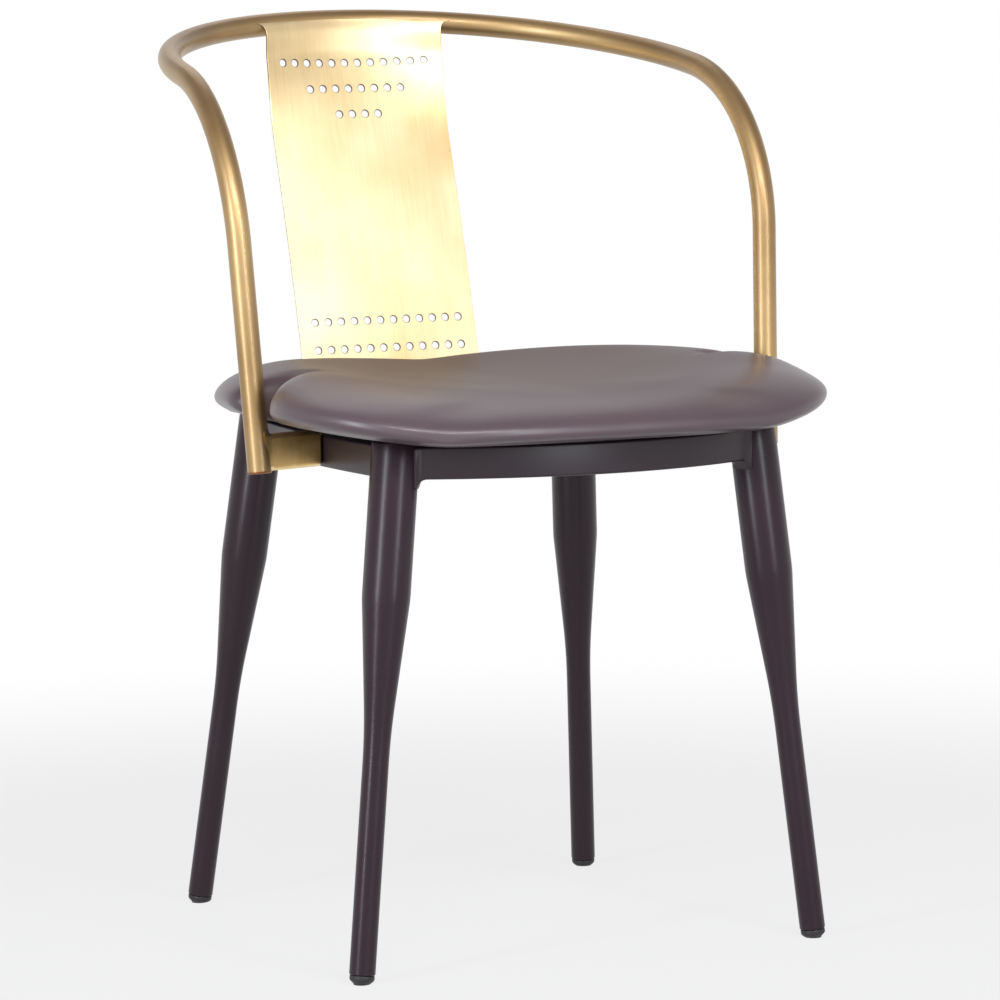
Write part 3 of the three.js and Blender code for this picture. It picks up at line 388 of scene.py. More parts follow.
# The origin is under the middle of the whole chair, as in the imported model
hoopTilt = math.radians(hoop["tilt"])
seatFrontOverhang = 31.6
seatFrontY = (legCentre("front", -1)[1] - rails["frontBow"] - rails["thickness"] / 2
              - seatFrontOverhang)
hoopRearY = hoop["centreY"] + hoop["radius"] * math.cos(hoopTilt) + hoopTubeRadius
chairShift = -(seatFrontY + hoopRearY) / 2
say("shift along y:", round(chairShift, 4))


def shaderGroup(name, outputs, **inputs):
    return nodeGroup("ShaderNodeTree", name, dict.fromkeys(outputs, "Float"),
                     dict(Vector="Vector", **inputs))


def brushedGroup():
    # fine lines that run along X of the vector, over broader streaks
    w, start = shaderGroup("brushedLines", ("Lines", "Height"), Along=14.0, Across=1400.0)
    size = w.node("ShaderNodeCombineXYZ",
                  {"X": start["Along"], "Y": start["Across"], "Z": start["Across"]})
    place = w.vectorCalc("MULTIPLY", start["Vector"], size["Vector"])["Vector"]
    fine, broad = (w.node("ShaderNodeTexNoise",
                          {"Vector": place, "Scale": scale, "Detail": detail})["Fac"]
                   for scale, detail in ((1, 3), (0.17, 2)))
    lines = w.calc("MULTIPLY_ADD", broad, 0.45, w.calc("MULTIPLY", fine, 0.55))
    return w.close(Lines=lines, Height=fine)


def mottleGroup():
    # soft cloudy patches from 0 to 1
    w, start = shaderGroup("softMottle", ["Patches"], Scale=12.0, Contrast=2.0)
    cloud = w.node("ShaderNodeTexNoise",
                   {"Vector": start["Vector"], "Scale": start["Scale"], "Detail": 4})
    offset = w.calc("MULTIPLY_ADD", start["Contrast"], -0.5, 0.5)
    return w.close(Patches=w.calc("MULTIPLY_ADD", cloud["Fac"], start["Contrast"], offset,
                                  use_clamp=True))


def pebbleGroup():
    # small rounded cells with fine creases between them
    w, start = shaderGroup("pebbleGrain", ["Height"], Cells=900.0)
    wander = w.node("ShaderNodeTexNoise", {"Vector": start["Vector"], "Scale": 260})
    bend = w.vectorCalc("MULTIPLY_ADD", wander["Color"], (0.0012,) * 3, start["Vector"])
    cells = w.node("ShaderNodeTexVoronoi", {
        "Vector": bend["Vector"], "Scale": start["Cells"], "Smoothness": 0.35},
        feature="SMOOTH_F1")
    return w.close(Height=w.calc("SUBTRACT", 1, cells["Distance"]))


groups = dict(brushed=brushedGroup(), mottle=mottleGroup(), pebble=pebbleGroup())


def srgb(*seen):
    # a colour as it is seen, given from 0 to 255
    shares = [c / 255 for c in seen]
    return (*(c / 12.92 if c <= 0.04045 else ((c + 0.055) / 1.055) ** 2.4 for c in shares), 1)


class Painter(Wiring):
    # a material with its Principled shader and what its look is made of
    def __init__(self, name, **fixed):
        self.material = bpy.data.materials.new(name)
        self.material.use_nodes = True
        super().__init__(self.material.node_tree)
        self.shader = self.tree.nodes["Principled BSDF"]
        for label, value in fixed.items():
            self.shader.inputs[label.replace("_", " ")].default_value = value
        self.point = self.node("ShaderNodeTexCoord")["Object"]

    def group(self, name, **values):
        return self.node("ShaderNodeGroup", {"Vector": self.point, **values},
                         node_tree=groups[name])

    def mottle(self, scale, contrast):
        return self.group("mottle", Scale=scale, Contrast=contrast)["Patches"]

    def bump(self, height, depth, strength):
        return self.node("ShaderNodeBump", {
            "Distance": depth * mm, "Strength": strength, "Height": height})["Normal"]

    def pebbles(self, cells, depth, strength):
        return self.bump(self.group("pebble", Cells=cells)["Height"], depth, strength)

    def feed(self, **sources):
        for label, source in sources.items():
            self.tree.links.new(source, self.shader.inputs[label.replace("_", " ")])
        return self.material


def brassMaterial(name, dark, light, rough, along, across, patches=(9.0, 2.4), lacquer=0.0,
                  grain=None, paintedTopShade=None):
    paint = Painter(name, Metallic=1.0, Coat_Weight=lacquer, Coat_Roughness=0.24)
    grainPoint = (paint.node("ShaderNodeAttribute", attribute_name=grain)["Vector"] if grain
                  else paint.point)
    lines = paint.group("brushed", Vector=grainPoint, Along=along, Across=across)
    tone = paint.calc("MULTIPLY_ADD", paint.spread(lines["Lines"], -1, 1), 0.35,
                      paint.mottle(*patches))
    metal = paint.blend(tone, srgb(*dark), srgb(*light))
    if paintedTopShade:
        # painted shade: the top of the hoop is made a little browner and darker than the uprights,
        # standing in for the darker surroundings that its bend reflects
        height = paint.node("ShaderNodeSeparateXYZ", {0: paint.point})["Z"]
        topShadeShare = paint.spread(height, 0, paintedTopShade["share"], paintedTopShade["low"], paintedTopShade["high"], "SMOOTHSTEP")
        metal = paint.blend(topShadeShare, metal, srgb(*paintedTopShade["color"]))
    return paint.feed(Base_Color=metal, Roughness=paint.spread(lines["Lines"], *rough),
                      Normal=paint.bump(lines["Height"], 0.03, 0.5))


def powderMaterial(name, color, paler, rough, gloss):
    # fine orange peel with a satin face
    paint = Painter(name, Metallic=0.0, Specular_IOR_Level=gloss)
    patches = paint.mottle(18.0, 1.6)
    return paint.feed(Base_Color=paint.blend(patches, srgb(*color), srgb(*paler)),
                      Roughness=paint.spread(patches, rough - 0.04, rough + 0.05),
                      Normal=paint.pebbles(1300.0, 0.05, 0.35))


def leatherMaterial():
    paint = Painter("taupeLeatherette", Metallic=0.0, Specular_IOR_Level=0.3, Coat_Roughness=0.3)
    patches = paint.mottle(7.0, 1.8)
    rimTone = paint.blend(patches, srgb(87, 72, 78), srgb(95, 79, 85))
    middleReflectionTone = paint.blend(patches, srgb(91, 74, 72), srgb(99, 81, 79))
    # painted reflection: the middle is made browner than the tight rolled edge, standing in for the
    # brass splat reflected in the dish; the middle is also duller
    middle = paint.vectorCalc("MULTIPLY_ADD", paint.point, (1, 1, 0), (0, 0.02, 0))
    away = paint.vectorCalc("LENGTH", middle["Vector"])["Value"]
    edge = paint.spread(away, 0, 1, 0.12, 0.23, "SMOOTHSTEP")
    return paint.feed(Base_Color=paint.blend(edge, middleReflectionTone, rimTone),
                      Roughness=paint.spread(edge, 0.47, 0.38),
                      Coat_Weight=paint.spread(away, 0, 0.55, 0.2, 0.26, "SMOOTHSTEP"),
                      Normal=paint.pebbles(1100.0, 0.06, 0.45))


def plainMaterial(name, first, second, rough, metallic=0.0, scale=40.0, cells=None, depth=0.05):
    paint = Painter(name, Metallic=metallic)
    patches = paint.mottle(scale, 2.0)
    if cells:
        paint.feed(Normal=paint.pebbles(cells, depth, 0.5))
    return paint.feed(Base_Color=paint.blend(patches, srgb(*first), srgb(*second)),
                      Roughness=paint.spread(patches, rough - 0.05, rough + 0.05))


def plywoodMaterial():
    # pale veneer face with grain along X and glue lines across the edge
    paint = Painter("beechPlywood", Metallic=0.0, Roughness=0.7)
    grain = paint.group("brushed", Along=9.0, Across=220.0)
    veneer = paint.blend(grain["Lines"], srgb(168, 126, 84), srgb(206, 170, 124))
    layers = paint.node("ShaderNodeTexWave", {
        "Scale": 170, "Distortion": 0.4, "Vector": paint.point}, bands_direction="Z")
    shade = paint.spread(layers["Fac"], 0.0, 0.25)
    return paint.feed(Base_Color=paint.blend(shade, veneer, srgb(96, 64, 40)),
                      Normal=paint.bump(grain["Height"], 0.05, 0.4))


materials = dict(
    # the hoop tube, with a painted shade darkening its top
    tube=brassMaterial("brushedBrassTube", (150, 121, 80), (184, 155, 108), (0.4, 0.52),
                       9.0, 900.0, lacquer=0.5, grain="grainPoint",
                       paintedTopShade=dict(color=(124, 101, 66), share=0.22, low=0.66, high=0.75)),
    sheet=brassMaterial("brushedBrassSheet", (212, 180, 122), (244, 228, 188), (0.38, 0.52),
                        500.0, 26.0, (8.0, 2.0), lacquer=0.4),
    # painted shade: a darker brass for the splat's hole walls and cut sides
    shadedCutEdge=brassMaterial("darkCutEdge", (92, 72, 66), (128, 104, 96), (0.5, 0.64),
                          300.0, 300.0, (60.0, 2.0)),
    # painted highlight, with some polish: a paler, smoother brass for rounded edges that catch the
    # light
    polishedEdgeHighlight=brassMaterial("polishedBrassEdge", (226, 196, 134), (246, 228, 180),
                               (0.24, 0.36), 300.0, 300.0, (40.0, 2.0)),
    tubeEnd=brassMaterial("reddishTubeEnd", (112, 70, 48), (160, 112, 76), (0.34, 0.5),
                          300.0, 300.0, (60.0, 2.2)),
    block=brassMaterial("antiqueBrassBlock", (206, 166, 102), (250, 216, 152), (0.42, 0.56),
                        900.0, 40.0, (26.0, 2.4)),
    powder=powderMaterial("auberginePowderCoat", (38, 19, 30), (44, 25, 36), 0.3, 0.34),
    # painted light: a paler, glossier copy of the frame's powder coat for the rails and corner
    # plates, so they come out lighter than the legs; the frame has one coat
    railLitCopy=powderMaterial("aubergineRailCoat", (43, 31, 39), (49, 37, 45), 0.36, 0.4),
    leather=leatherMaterial(),
    glide=plainMaterial("blackGlide", (28, 25, 28), (40, 36, 40), 0.5, cells=1500.0),
    rubber=plainMaterial("blackRubber", (22, 21, 22), (30, 29, 30), 0.85, cells=900.0),
    zinc=plainMaterial("zincPlate", (150, 152, 158), (190, 190, 192), 0.34, 1.0, 120.0),
    cloth=plainMaterial("blackDustCloth", (26, 25, 27), (38, 36, 39), 0.92, cells=620.0,
                        depth=0.25),
    plywood=plywoodMaterial(),
)
say("materials made:", len(materials))


def legProfile():
    # radius by distance along the leg's axis, eased at the cone's two ends
    slim, thick = legs["lowerDiameter"] / 2, legs["upperDiameter"] / 2
    middle = ((slim + thick) / 2, (legs["coneFoot"] + legs["coneTop"]) / 2)
    low = roundedProfile([(slim, legs["glideCollar"]), (slim, legs["coneFoot"]), middle],
                         legs["easeFoot"], 9)
    high = roundedProfile([middle, (thick, legs["coneTop"]), (thick, railTop)],
                          legs["easeTop"], 7)
    return low[:-1] + high


def makeLeg(corner, sideName):
    sign = sides[sideName]
    top = railTop + legs["headRise"]
    foot, head = legAt(corner, sign, 0), legAt(corner, sign, top)
    axis = unit(head - foot)
    stretch = np.linalg.norm(head - foot) / top
    spoke = spokesRound(axis, legs["sides"])
    slim, thick, rim = legs["lowerDiameter"] / 2, legs["upperDiameter"] / 2, legs["rim"]
    mouth, edge, ease = legs["glideCollar"], legs["endRound"], rim * legs["rimEase"]
    rings = [foot + axis * along + spoke * radius
             for along, radius in ((mouth + edge, slim - legs["wall"]), (mouth, slim - edge),
                                   (mouth + edge, slim))]
    rings += [foot + axis * height * stretch + spoke * radius
              for radius, height in legProfile()[1:-1]]
    for radius, height in ((thick, top - rim), (thick - ease, top - ease), (thick - rim, top)):
        flat = foot + spoke * radius
        rings.append(flat + axis * ((height - flat[:, 2]) / axis[2])[:, None])
    obj = closedRings(f"leg{corner.title()}{sideName.title()}", rings,
                      foot + axis * (mouth + edge), head)
    dress(obj, "powder")
    finishPiece(obj, "powder_coat", f"leg_{corner}_{sideName}")


glides = dict(diameter=20.8, contact=13, chamfer=3.5, edge=1.2, shoulder=3)


def makeGlide(corner, sideName):
    foot = legAt(corner, sides[sideName], 0)
    axis = unit(legAt(corner, sides[sideName], railTop) - foot)
    outer, contact, chamfer = glides["diameter"] / 2, glides["contact"] / 2, glides["chamfer"]
    top = legs["glideCollar"] - gap
    corners = [(0, -chamfer), (contact, -chamfer), (contact, 0), (outer, chamfer),
               (outer, top), (outer - glides["shoulder"], top), (0, top)]
    obj = lathe(f"glide{corner.title()}{sideName.title()}",
                roundedProfile(corners, glides["edge"], 4), foot, axis)
    for vertex in obj.data.vertices:
        vertex.co.z = max(vertex.co.z, 0)
    dress(obj, "glide")
    finishPiece(obj, "glide_plastic", f"glide_{corner}_{sideName}")


for cornerName in ("front", "rear"):
    for sideName in sides:
        makeLeg(cornerName, sideName)
        makeGlide(cornerName, sideName)
say("legs and glides made")


def bowedLine(start, end, bow, count):
    chord = end - start
    outward = unit([chord[1], -chord[0]])
    half = np.linalg.norm(chord) / 2
    radius = (half ** 2 + bow ** 2) / (2 * bow)
    centre = (start + end) / 2 + outward * (bow - radius)
    angle = math.asin(half / radius) * np.linspace(-1, 1, count)[:, None]
    return centre + radius * (outward * np.cos(angle) + unit(chord) * np.sin(angle))


def bentLine(corners, bendRadius, count):
    # straight runs with the same bend radius at each inner corner
    corners = [np.asarray(c, float) for c in corners]
    path = [corners[0]]
    for before, here, after in zip(corners, corners[1:], corners[2:]):
        back, ahead = unit(before - here), unit(after - here)
        half = math.acos(np.clip(back @ ahead, -1, 1)) / 2
        centre = here + unit(back + ahead) * bendRadius / math.sin(half)
        first = here + back * bendRadius / math.tan(half) - centre
        turnSign = -math.copysign(1, back[0] * ahead[1] - back[1] * ahead[0])
        for step in np.linspace(0, turnSign * (math.pi - 2 * half), rails["bendSteps"]):
            c, s = math.cos(step), math.sin(step)
            path.append(centre + [first[0] * c - first[1] * s, first[0] * s + first[1] * c])
    return respaced(np.array([*path, corners[-1]]), count)


rearRailY = legCentre("rear", -1)[1] + rails["rearSetback"]
railEnds = dict(front=(("front", -1), ("front", 1)), right=(("front", 1), ("rear", 1)),
                rear=(("rear", 1), ("rear", -1)), left=(("rear", -1), ("front", -1)))


def railLine(name):
    start, end = (legCentre(*leg) for leg in railEnds[name])
    if name == "rear":
        flat = rails["rearFlatHalf"]
        return bentLine([start, (flat, rearRailY), (-flat, rearRailY), end],
                        rails["rearBendRadius"], rails["steps"])
    return bowedLine(start, end, rails["frontBow" if name == "front" else "sideBow"],
                     rails["steps"])


railLines = {name: railLine(name) for name in railEnds}


def makeRail(name):
    line = railLines[name]
    tangent = np.gradient(line, axis=0)
    tangent /= np.linalg.norm(tangent, axis=1)[:, None]
    outward = np.stack([tangent[:, 1], -tangent[:, 0]], 1)
    half = rails["thickness"] / 2
    section = roundedBox(half, rails["height"] / 2, rails["cornerRadius"],
                         rails["cornerSteps"])[0]
    rings = []
    for point, away in zip(line, outward):
        ring = []
        for across, rise in section:
            height = railMiddle + rise
            free = min(np.linalg.norm(point - legAt(*leg, height)[:2])
                       for leg in railEnds[name]) - legs["upperDiameter"] / 2
            beside = filletRise(free, rails["filletBeside"]) * np.sign(across)
            below = filletRise(free, rails["filletBelow"]) if rise < 0 else 0
            plan = point + away * (across + beside * abs(across) / half)
            ring.append((*plan, height - below))
        rings.append(ring)
    obj = closedRings(f"rail{name.title()}", rings)
    dress(obj, "railLitCopy")
    finishPiece(obj, "powder_coat", f"rail_{name}")


for railName in railLines:
    makeRail(railName)
dressSolids(corner_plate="railLitCopy")
say("rails and corner plates done")


hoopMiddle = np.array([0, hoop["centreY"], hoop["centreZ"]])
hoopBack = np.array([0, math.cos(hoopTilt), math.sin(hoopTilt)])
hoopCornerHalf = hoop["radius"] + hoop["cornerFlare"]
tangentAngle = (math.acos(hoop["radius"] / math.hypot(hoopCornerHalf, hoop["cornerReach"]))
                - math.atan2(hoop["cornerReach"], hoopCornerHalf))


def inHoopPlane(across, back):
    return hoopMiddle + np.array([across, 0, 0]) + hoopBack * back


def uprightOf(sign):
    # the straight foot and the bend on one side
    foot = hoopFoot * [sign, 1, 1]
    corner = inHoopPlane(sign * hoopCornerHalf, -hoop["cornerReach"])
    arcStart = inHoopPlane(sign * hoop["radius"] * math.cos(tangentAngle),
                           hoop["radius"] * math.sin(tangentAngle))
    down, along = unit(foot - corner), unit(arcStart - corner)
    half = math.acos(down @ along) / 2
    return dict(foot=foot, corner=corner, down=down, sweep=math.pi - 2 * half,
                bendStart=corner + down * (hoop["bendRadius"] / math.tan(half)),
                centre=corner + unit(down + along) * hoop["bendRadius"] / math.sin(half))


def uprightAt(sign, height):
    upright = uprightOf(sign)
    whole = upright["corner"] - upright["foot"]
    return upright["foot"] + whole * ((height - upright["foot"][2]) / whole[2])


def hoopLine():
    left = uprightOf(-1)
    spoke = left["bendStart"] - left["centre"]
    angle = np.linspace(0, left["sweep"], hoop["bendSteps"])[:, None]
    bend = (left["centre"] + spoke * np.cos(angle)
            - left["down"] * np.linalg.norm(spoke) * np.sin(angle))
    share = np.linspace(math.pi - tangentAngle, math.pi / 2, hoop["backSteps"])[:, None]
    back = hoopMiddle + hoop["radius"] * (np.cos(share) * [[1, 0, 0]] + np.sin(share) * [hoopBack])
    half = np.vstack([left["foot"], bend, back])
    return respaced(np.vstack([half, (half * [-1, 1, 1])[-2::-1]]), step=hoop["step"])


def makeHoop():
    points = hoopLine()
    steps = [(i, i + 1) for i in range(len(points) - 1)]
    obj = addObject("hoop", rawMesh("hoopLine", points, steps))
    runTree(obj, tubeTree(), 60, Radius=hoopTubeRadius * mm, Sides=hoop["sides"],
            Material=materials["tube"])
    finishPiece(obj, "brushed_brass", "hoop_tube")


def makeHoopCap(sideName):
    upright = uprightOf(sides[sideName])
    crown, rim = hoop["capCrown"], hoop["capRim"]
    dome = [(hoopTubeRadius - rim * (1 - math.cos(angle)), crown - rim * (1 - math.sin(angle)))
            for angle in quarterTurn(9)]
    obj = lathe(f"hoopCap{sideName.title()}", [(0, 0), (hoopTubeRadius, 0), *dome, (0, crown)],
                upright["foot"], upright["down"], smoothAngle=50)
    dress(obj, "tubeEnd")
    finishPiece(obj, "antique_brass", f"hoop_cap_{sideName}")


makeHoop()
for sideName in sides:
    makeHoopCap(sideName)
say("hoop made")


brackets = dict(height=30.5, thickness=15, corner=4, cornerSteps=8, rise=1, sweep=17, blendTop=5,
                blendSide=4.5, blendBottom=1.6, endRound=4.5, tubeBite=0.2, tubeMargin=0.6,
                flatFacing=0.93, boltSpacing=15, boltLean=0.8)


def bracketAxes(sign):
    start = uprightAt(sign, rails["underside"] + brackets["rise"] + brackets["height"] / 2)
    sweep = math.radians(brackets["sweep"])
    return start, np.array([-sign * math.cos(sweep), math.sin(sweep), 0])


def railCrossing(sign, start, inward):
    # distance along inward to the side rail's outer face, and that face's plan direction
    line = railLines["left" if sign < 0 else "right"]
    for a, b in zip(line[:-1], line[1:]):
        edge = b - a
        along, share = np.linalg.solve(np.array([inward[:2], -edge]).T, a - start[:2])
        if 0 <= share <= 1:
            heading = unit(edge)
            square = abs(inward[0] * heading[1] - inward[1] * heading[0])
            return along - (rails["thickness"] / 2 + gap) / square, heading
    raise ValueError("the bracket misses its rail")


def makeBracket(sideName):
    sign = sides[sideName]
    start, inward = bracketAxes(sign)
    reach, heading = railCrossing(sign, start, inward)
    upward = np.array([0, 0, 1.0])
    sideways = np.cross(inward, upward)
    outline, facing = roundedBox(brackets["thickness"] / 2, brackets["height"] / 2,
                                 brackets["corner"], brackets["cornerSteps"])
    side = brackets["blendSide"]
    blend = np.where(facing[:, 1] > 0, side + (brackets["blendTop"] - side) * facing[:, 1],
                     side + (brackets["blendBottom"] - side) * -facing[:, 1])
    upright = uprightOf(sign)
    axis = unit(upright["corner"] - upright["foot"])
    run = inward - axis * (inward @ axis)

    def placeOf(flat):
        return start + sideways * flat[0] + upward * flat[1]

    def toTube(flat):
        # distance along inward from the tube's axis plane out to its surface
        offset = placeOf(flat) - upright["foot"]
        offset = offset - axis * (offset @ axis)
        a, b = run @ run, 2 * offset @ run
        c = offset @ offset - (hoopTubeRadius - brackets["tubeBite"]) ** 2
        return (-b + math.sqrt(max(b * b - 4 * a * c, 0))) / (2 * a)

    def toRail(flat):
        # the end face follows the rail, which the block meets at an angle
        lean = sideways[:2] * flat[0]
        cross = heading[0] * inward[1] - heading[1] * inward[0]
        return reach - (heading[0] * lean[1] - heading[1] * lean[0]) / cross

    def ringAt(flats, distances):
        return [placeOf(f) + inward * d for f, d in zip(flats, distances)]

    rings = []
    widest = hoopTubeRadius - brackets["tubeMargin"]
    for angle in quarterTurn(9):
        flats = outline + facing * (blend * (1 - math.sin(angle)))[:, None]
        flats[:, 0] = np.clip(flats[:, 0], -widest, widest)
        rings.append(ringAt(flats, [toTube(f) + b * (1 - math.cos(angle))
                                    for f, b in zip(flats, blend)]))
    starts = np.array([toTube(f) + b for f, b in zip(outline, blend)])
    ends = np.array([toRail(f) for f in outline])
    ease = brackets["endRound"]
    for share in np.linspace(0, 1, 9)[1:]:
        rings.append(ringAt(outline, starts + (ends - ease - starts) * share))
    for angle in quarterTurn(7)[1:]:
        flats = outline - facing * (ease * (1 - math.cos(angle)))
        rings.append(ringAt(flats, [toRail(f) - ease * (1 - math.sin(angle)) for f in flats]))
    obj = closedRings(f"bracket{sideName.title()}", rings, smoothAngle=50)
    dress(obj, "block", "polishedEdgeHighlight")
    # painted highlight, with some polish: the rounded edges and the fillet at the tube get the
    # paler edge brass
    main = np.array([inward, sideways, upward])
    for polygon in obj.data.polygons:
        if np.abs(main @ np.array(polygon.normal)).max() < brackets["flatFacing"]:
            polygon.material_index = 1
    finishPiece(obj, "antique_brass", f"bracket_{sideName}")


for sideName in sides:
    makeBracket(sideName)
say("brackets made")


splat = dict(width=172, thickness=2, footClearance=3, sag=6.3, rollDepth=110, tubeLead=5,
             headLead=5.2, headReach=30, headRise=1.6, headCurve=60, edgeRound=0.4, margin=3,
             cornerFlare=9, flarePower=6, columns=46, rows=92, headRows=18, headBand=(30, 28),
             holeDiameter=6.4, holePitch=12.74, holeChamfer=0.6, holeSides=28, cutterOver=1,
             topRowDrop=38.4, topRowPitch=23, topRowCounts=(12, 8, 4), topRowBow=2.3,
             topRowBowShares=(1, 0.2, 0), lowRowRise=51.2, lowRowPitch=24.6,
             lowRowCounts=(12, 12), screwSpacing=60, screwDrop=14)
splatFootY = rearRailY + rails["thickness"] / 2 + gap + splat["thickness"] / 2
splatFootZ = rails["underside"] + splat["footClearance"]
hoopRearZ = hoop["centreZ"] + hoop["radius"] * math.sin(hoopTilt)
splatHeadY = hoop["centreY"] + hoop["radius"] * math.cos(hoopTilt) - splat["tubeLead"]


def rollShare(height):
    below = np.maximum(hoopRearZ - height, 0)
    return np.where(below >= splat["rollDepth"], 0,
                    (1 + np.cos(math.pi * below / splat["rollDepth"])) / 2)


def splatPoint(x, height):
    climb = np.clip((height - railTop) / (hoopRearZ - railTop), 0, 1)
    straight = splatFootY + (splatHeadY - splatFootY) * climb
    sag = 4 * splat["sag"] * climb * (1 - climb)
    back = np.sqrt(hoop["radius"] ** 2 - x ** 2)
    curve = (hoop["radius"] - back) * math.cos(hoopTilt) * rollShare(height)
    head = hoopRearZ - (hoop["radius"] - back) * math.sin(hoopTilt)
    lead = splat["headLead"] * smoothstep(height, head - splat["headReach"],
                                          head - hoopTubeRadius / 2)
    return np.stack(np.broadcast_arrays(x, straight - sag - curve - lead, height), -1)


def splatNormal(x, height, step=0.2):
    across = splatPoint(x + step, height) - splatPoint(x - step, height)
    up = splatPoint(x, height + step) - splatPoint(x, height - step)
    normal = np.cross(across, up)
    return normal / np.linalg.norm(normal, axis=-1)[..., None]


def splatBlank():
    # the flat blank: X across, Y up the sheet by height, Z through it
    half, rim, wide = splat["thickness"] / 2, splat["edgeRound"], splat["width"] / 2
    inner, foot, top = wide - splat["margin"], splatFootZ, hoopRearZ + splat["headRise"]
    across = np.r_[-wide, -wide + rim, np.linspace(-inner, inner, splat["columns"]),
                   wide - rim, wide]
    up = np.r_[foot, foot + rim,
               np.linspace(foot + splat["margin"], top - splat["headBand"][0], splat["rows"]),
               np.linspace(top - splat["headBand"][1], top, splat["headRows"])]
    grid = np.stack(np.meshgrid(across, up), -1)
    drop = (np.sqrt(hoop["radius"] ** 2 - grid[..., 0] ** 2) - hoop["radius"]) * math.sin(hoopTilt)
    grid[..., 1] += drop * smoothstep(grid[..., 1], top - splat["headCurve"], top)
    flare = filletRise(top + drop - grid[..., 1], splat["cornerFlare"])
    grid[..., 0] += (np.sign(grid[..., 0]) * flare
                     * (np.abs(grid[..., 0]) / wide) ** splat["flarePower"])
    rows, columns = grid.shape[:2]
    depth = np.full((rows, columns), half - rim)
    depth[1:-1, 1:-1] = half
    points = np.vstack([np.dstack([grid, z]).reshape(-1, 3) for z in (depth, -depth)])
    index = np.arange(rows * columns).reshape(rows, columns)
    border = np.r_[index[0], index[1:, -1], index[-1, -2::-1], index[-2:0:-1, 0]].tolist()
    front, behind = gridFaces(rows, columns, False), rows * columns
    faces = front + [tuple(i + behind for i in face[::-1]) for face in front]
    faces += [(a, a + behind, b + behind, b) for a, b in zip(border, border[1:] + border[:1])]
    return meshObject("splatBlank", points, faces, 30, shift=False)


def splatHolePlaces():
    rows = [(hoopRearZ - splat["topRowDrop"] - i * splat["topRowPitch"], count,
             splat["topRowBow"] * splat["topRowBowShares"][i])
            for i, count in enumerate(splat["topRowCounts"])]
    rows += [(railTop + splat["lowRowRise"] + i * splat["lowRowPitch"], count, 0)
             for i, count in enumerate(splat["lowRowCounts"])]
    places = []
    for height, count, bow in rows:
        bend = rollShare(height) / hoop["radius"]
        for i in range(count):
            across = splat["holePitch"] * (i - (count - 1) / 2)
            x = math.sin(across * bend) / bend if bend > 0 else across
            places.append((x, height + bow * (2 * across / splat["width"]) ** 2, 0))
    return places


def makeSplat():
    blank = splatBlank()
    radius, half, ease = splat["holeDiameter"] / 2, splat["thickness"] / 2, splat["holeChamfer"]
    over = splat["cutterOver"]
    wide, far = radius + ease + over, half + over
    cutter = atOrigin(lathe("holeCutter", [
        (0, -far), (wide, -far), (radius, ease - half), (radius, half - ease), (wide, far),
        (0, far)], sideCount=splat["holeSides"]))
    places = splatHolePlaces()
    obj = addObject("splat", rawMesh("splat", places, shift=False))
    runTree(obj, perforateTree(), 30, Sheet=blank, Cutter=cutter, Material=materials["sheet"])
    for helper in (blank, cutter):
        bpy.data.objects.remove(helper)
    # bend the cut sheet to its shape on the chair
    mesh = obj.data
    flat = pointsOf(mesh) / mm
    x, height = flat[:, 0], flat[:, 1]
    bent = splatPoint(x, height) + splatNormal(x, height) * flat[:, 2:3]
    # painted shade: hole walls and cut sides get a darker brass; painted highlight, with some
    # polish: the broken edges get a paler, smoother brass so they shine
    firstEdge = len(mesh.materials)
    for look in ("shadedCutEdge", "polishedEdgeHighlight"):
        mesh.materials.append(materials[look])
    centres = np.array(places)[:, :2]
    for polygon in mesh.polygons:
        flatness = abs(polygon.normal.z)
        if flatness > 0.95:
            continue
        middle = flat[list(polygon.vertices)].mean(0)
        reach = np.linalg.norm(centres - middle[:2], axis=1).min()
        paintedShadeFace = reach < radius + ease + 0.05 or flatness < 0.3
        polygon.material_index = firstEdge if paintedShadeFace else firstEdge + 1
    bent[:, 1] += chairShift
    mesh.vertices.foreach_set("co", (bent * mm).ravel())
    bm = bmesh.new()
    bm.from_mesh(mesh)
    bmesh.ops.triangulate(bm, faces=[f for f in bm.faces if len(f.verts) > 4])
    bm.to_mesh(mesh)
    bm.free()
    tidyMesh(mesh, 30)
    finishPiece(obj, "brushed_brass", "splat")


makeSplat()
say("splat made")


seat = dict(sideOverhang=15.4, widestY=-97.5, splatClearance=0.5, frontSquareness=2.79,
            rearSquareness=2.4, dishDepth=37.9, sideRise=19.5, sideRiseShare=0.78,
            sideLimitShare=1.15, sidePower=1.43, fadeStart=60, fadeShare=1.3, frontRise=-1.2,
            rearRise=10.1, frontRoll=150, sideRoll=95.7, rearRoll=63, rollPower=1.15,
            frontRollPower=0.84, frontRollFrom=0.6, flatHalfWidth=138, wingLift=17.5,
            rearWingLift=4.5, wingGrowth=110, wingPower=1.5, tuckHeight=9, tuckReach=12,
            coverThickness=1.3, turnIn=24, turnInStart=3, turnInRings=4, boardRings=9,
            spacerThickness=3.4, notchClearance=15, notchFront=28.8, notchRear=18,
            notchFrontPower=3, notchRearPower=5, notchFade=5, notchFacing=0.5,
            notchDensity=3.5, notchSpread=0.24, lobeRoll=65, lobePower=0.88, lobeStart=8,
            lobeRise=18, lobeReach=115, spokes=220, crownRings=22, rollRings=26, tuckRings=8,
            startInset=1.0, moveLimit=1.0, settleFrames=20,
            cloth=dict(quality=6, mass=0.3, tension_stiffness=25, compression_stiffness=15,
                       shear_stiffness=10, bending_stiffness=12, use_pressure=True,
                       uniform_pressure_force=3.5, vertex_group_mass="held"))
seatHalfWidth = hoopFoot[0] + seat["sideOverhang"]
seatRearY = splatFootY - splat["thickness"] / 2 - seat["splatClearance"]
seatFrontReach = seat["widestY"] - seatFrontY
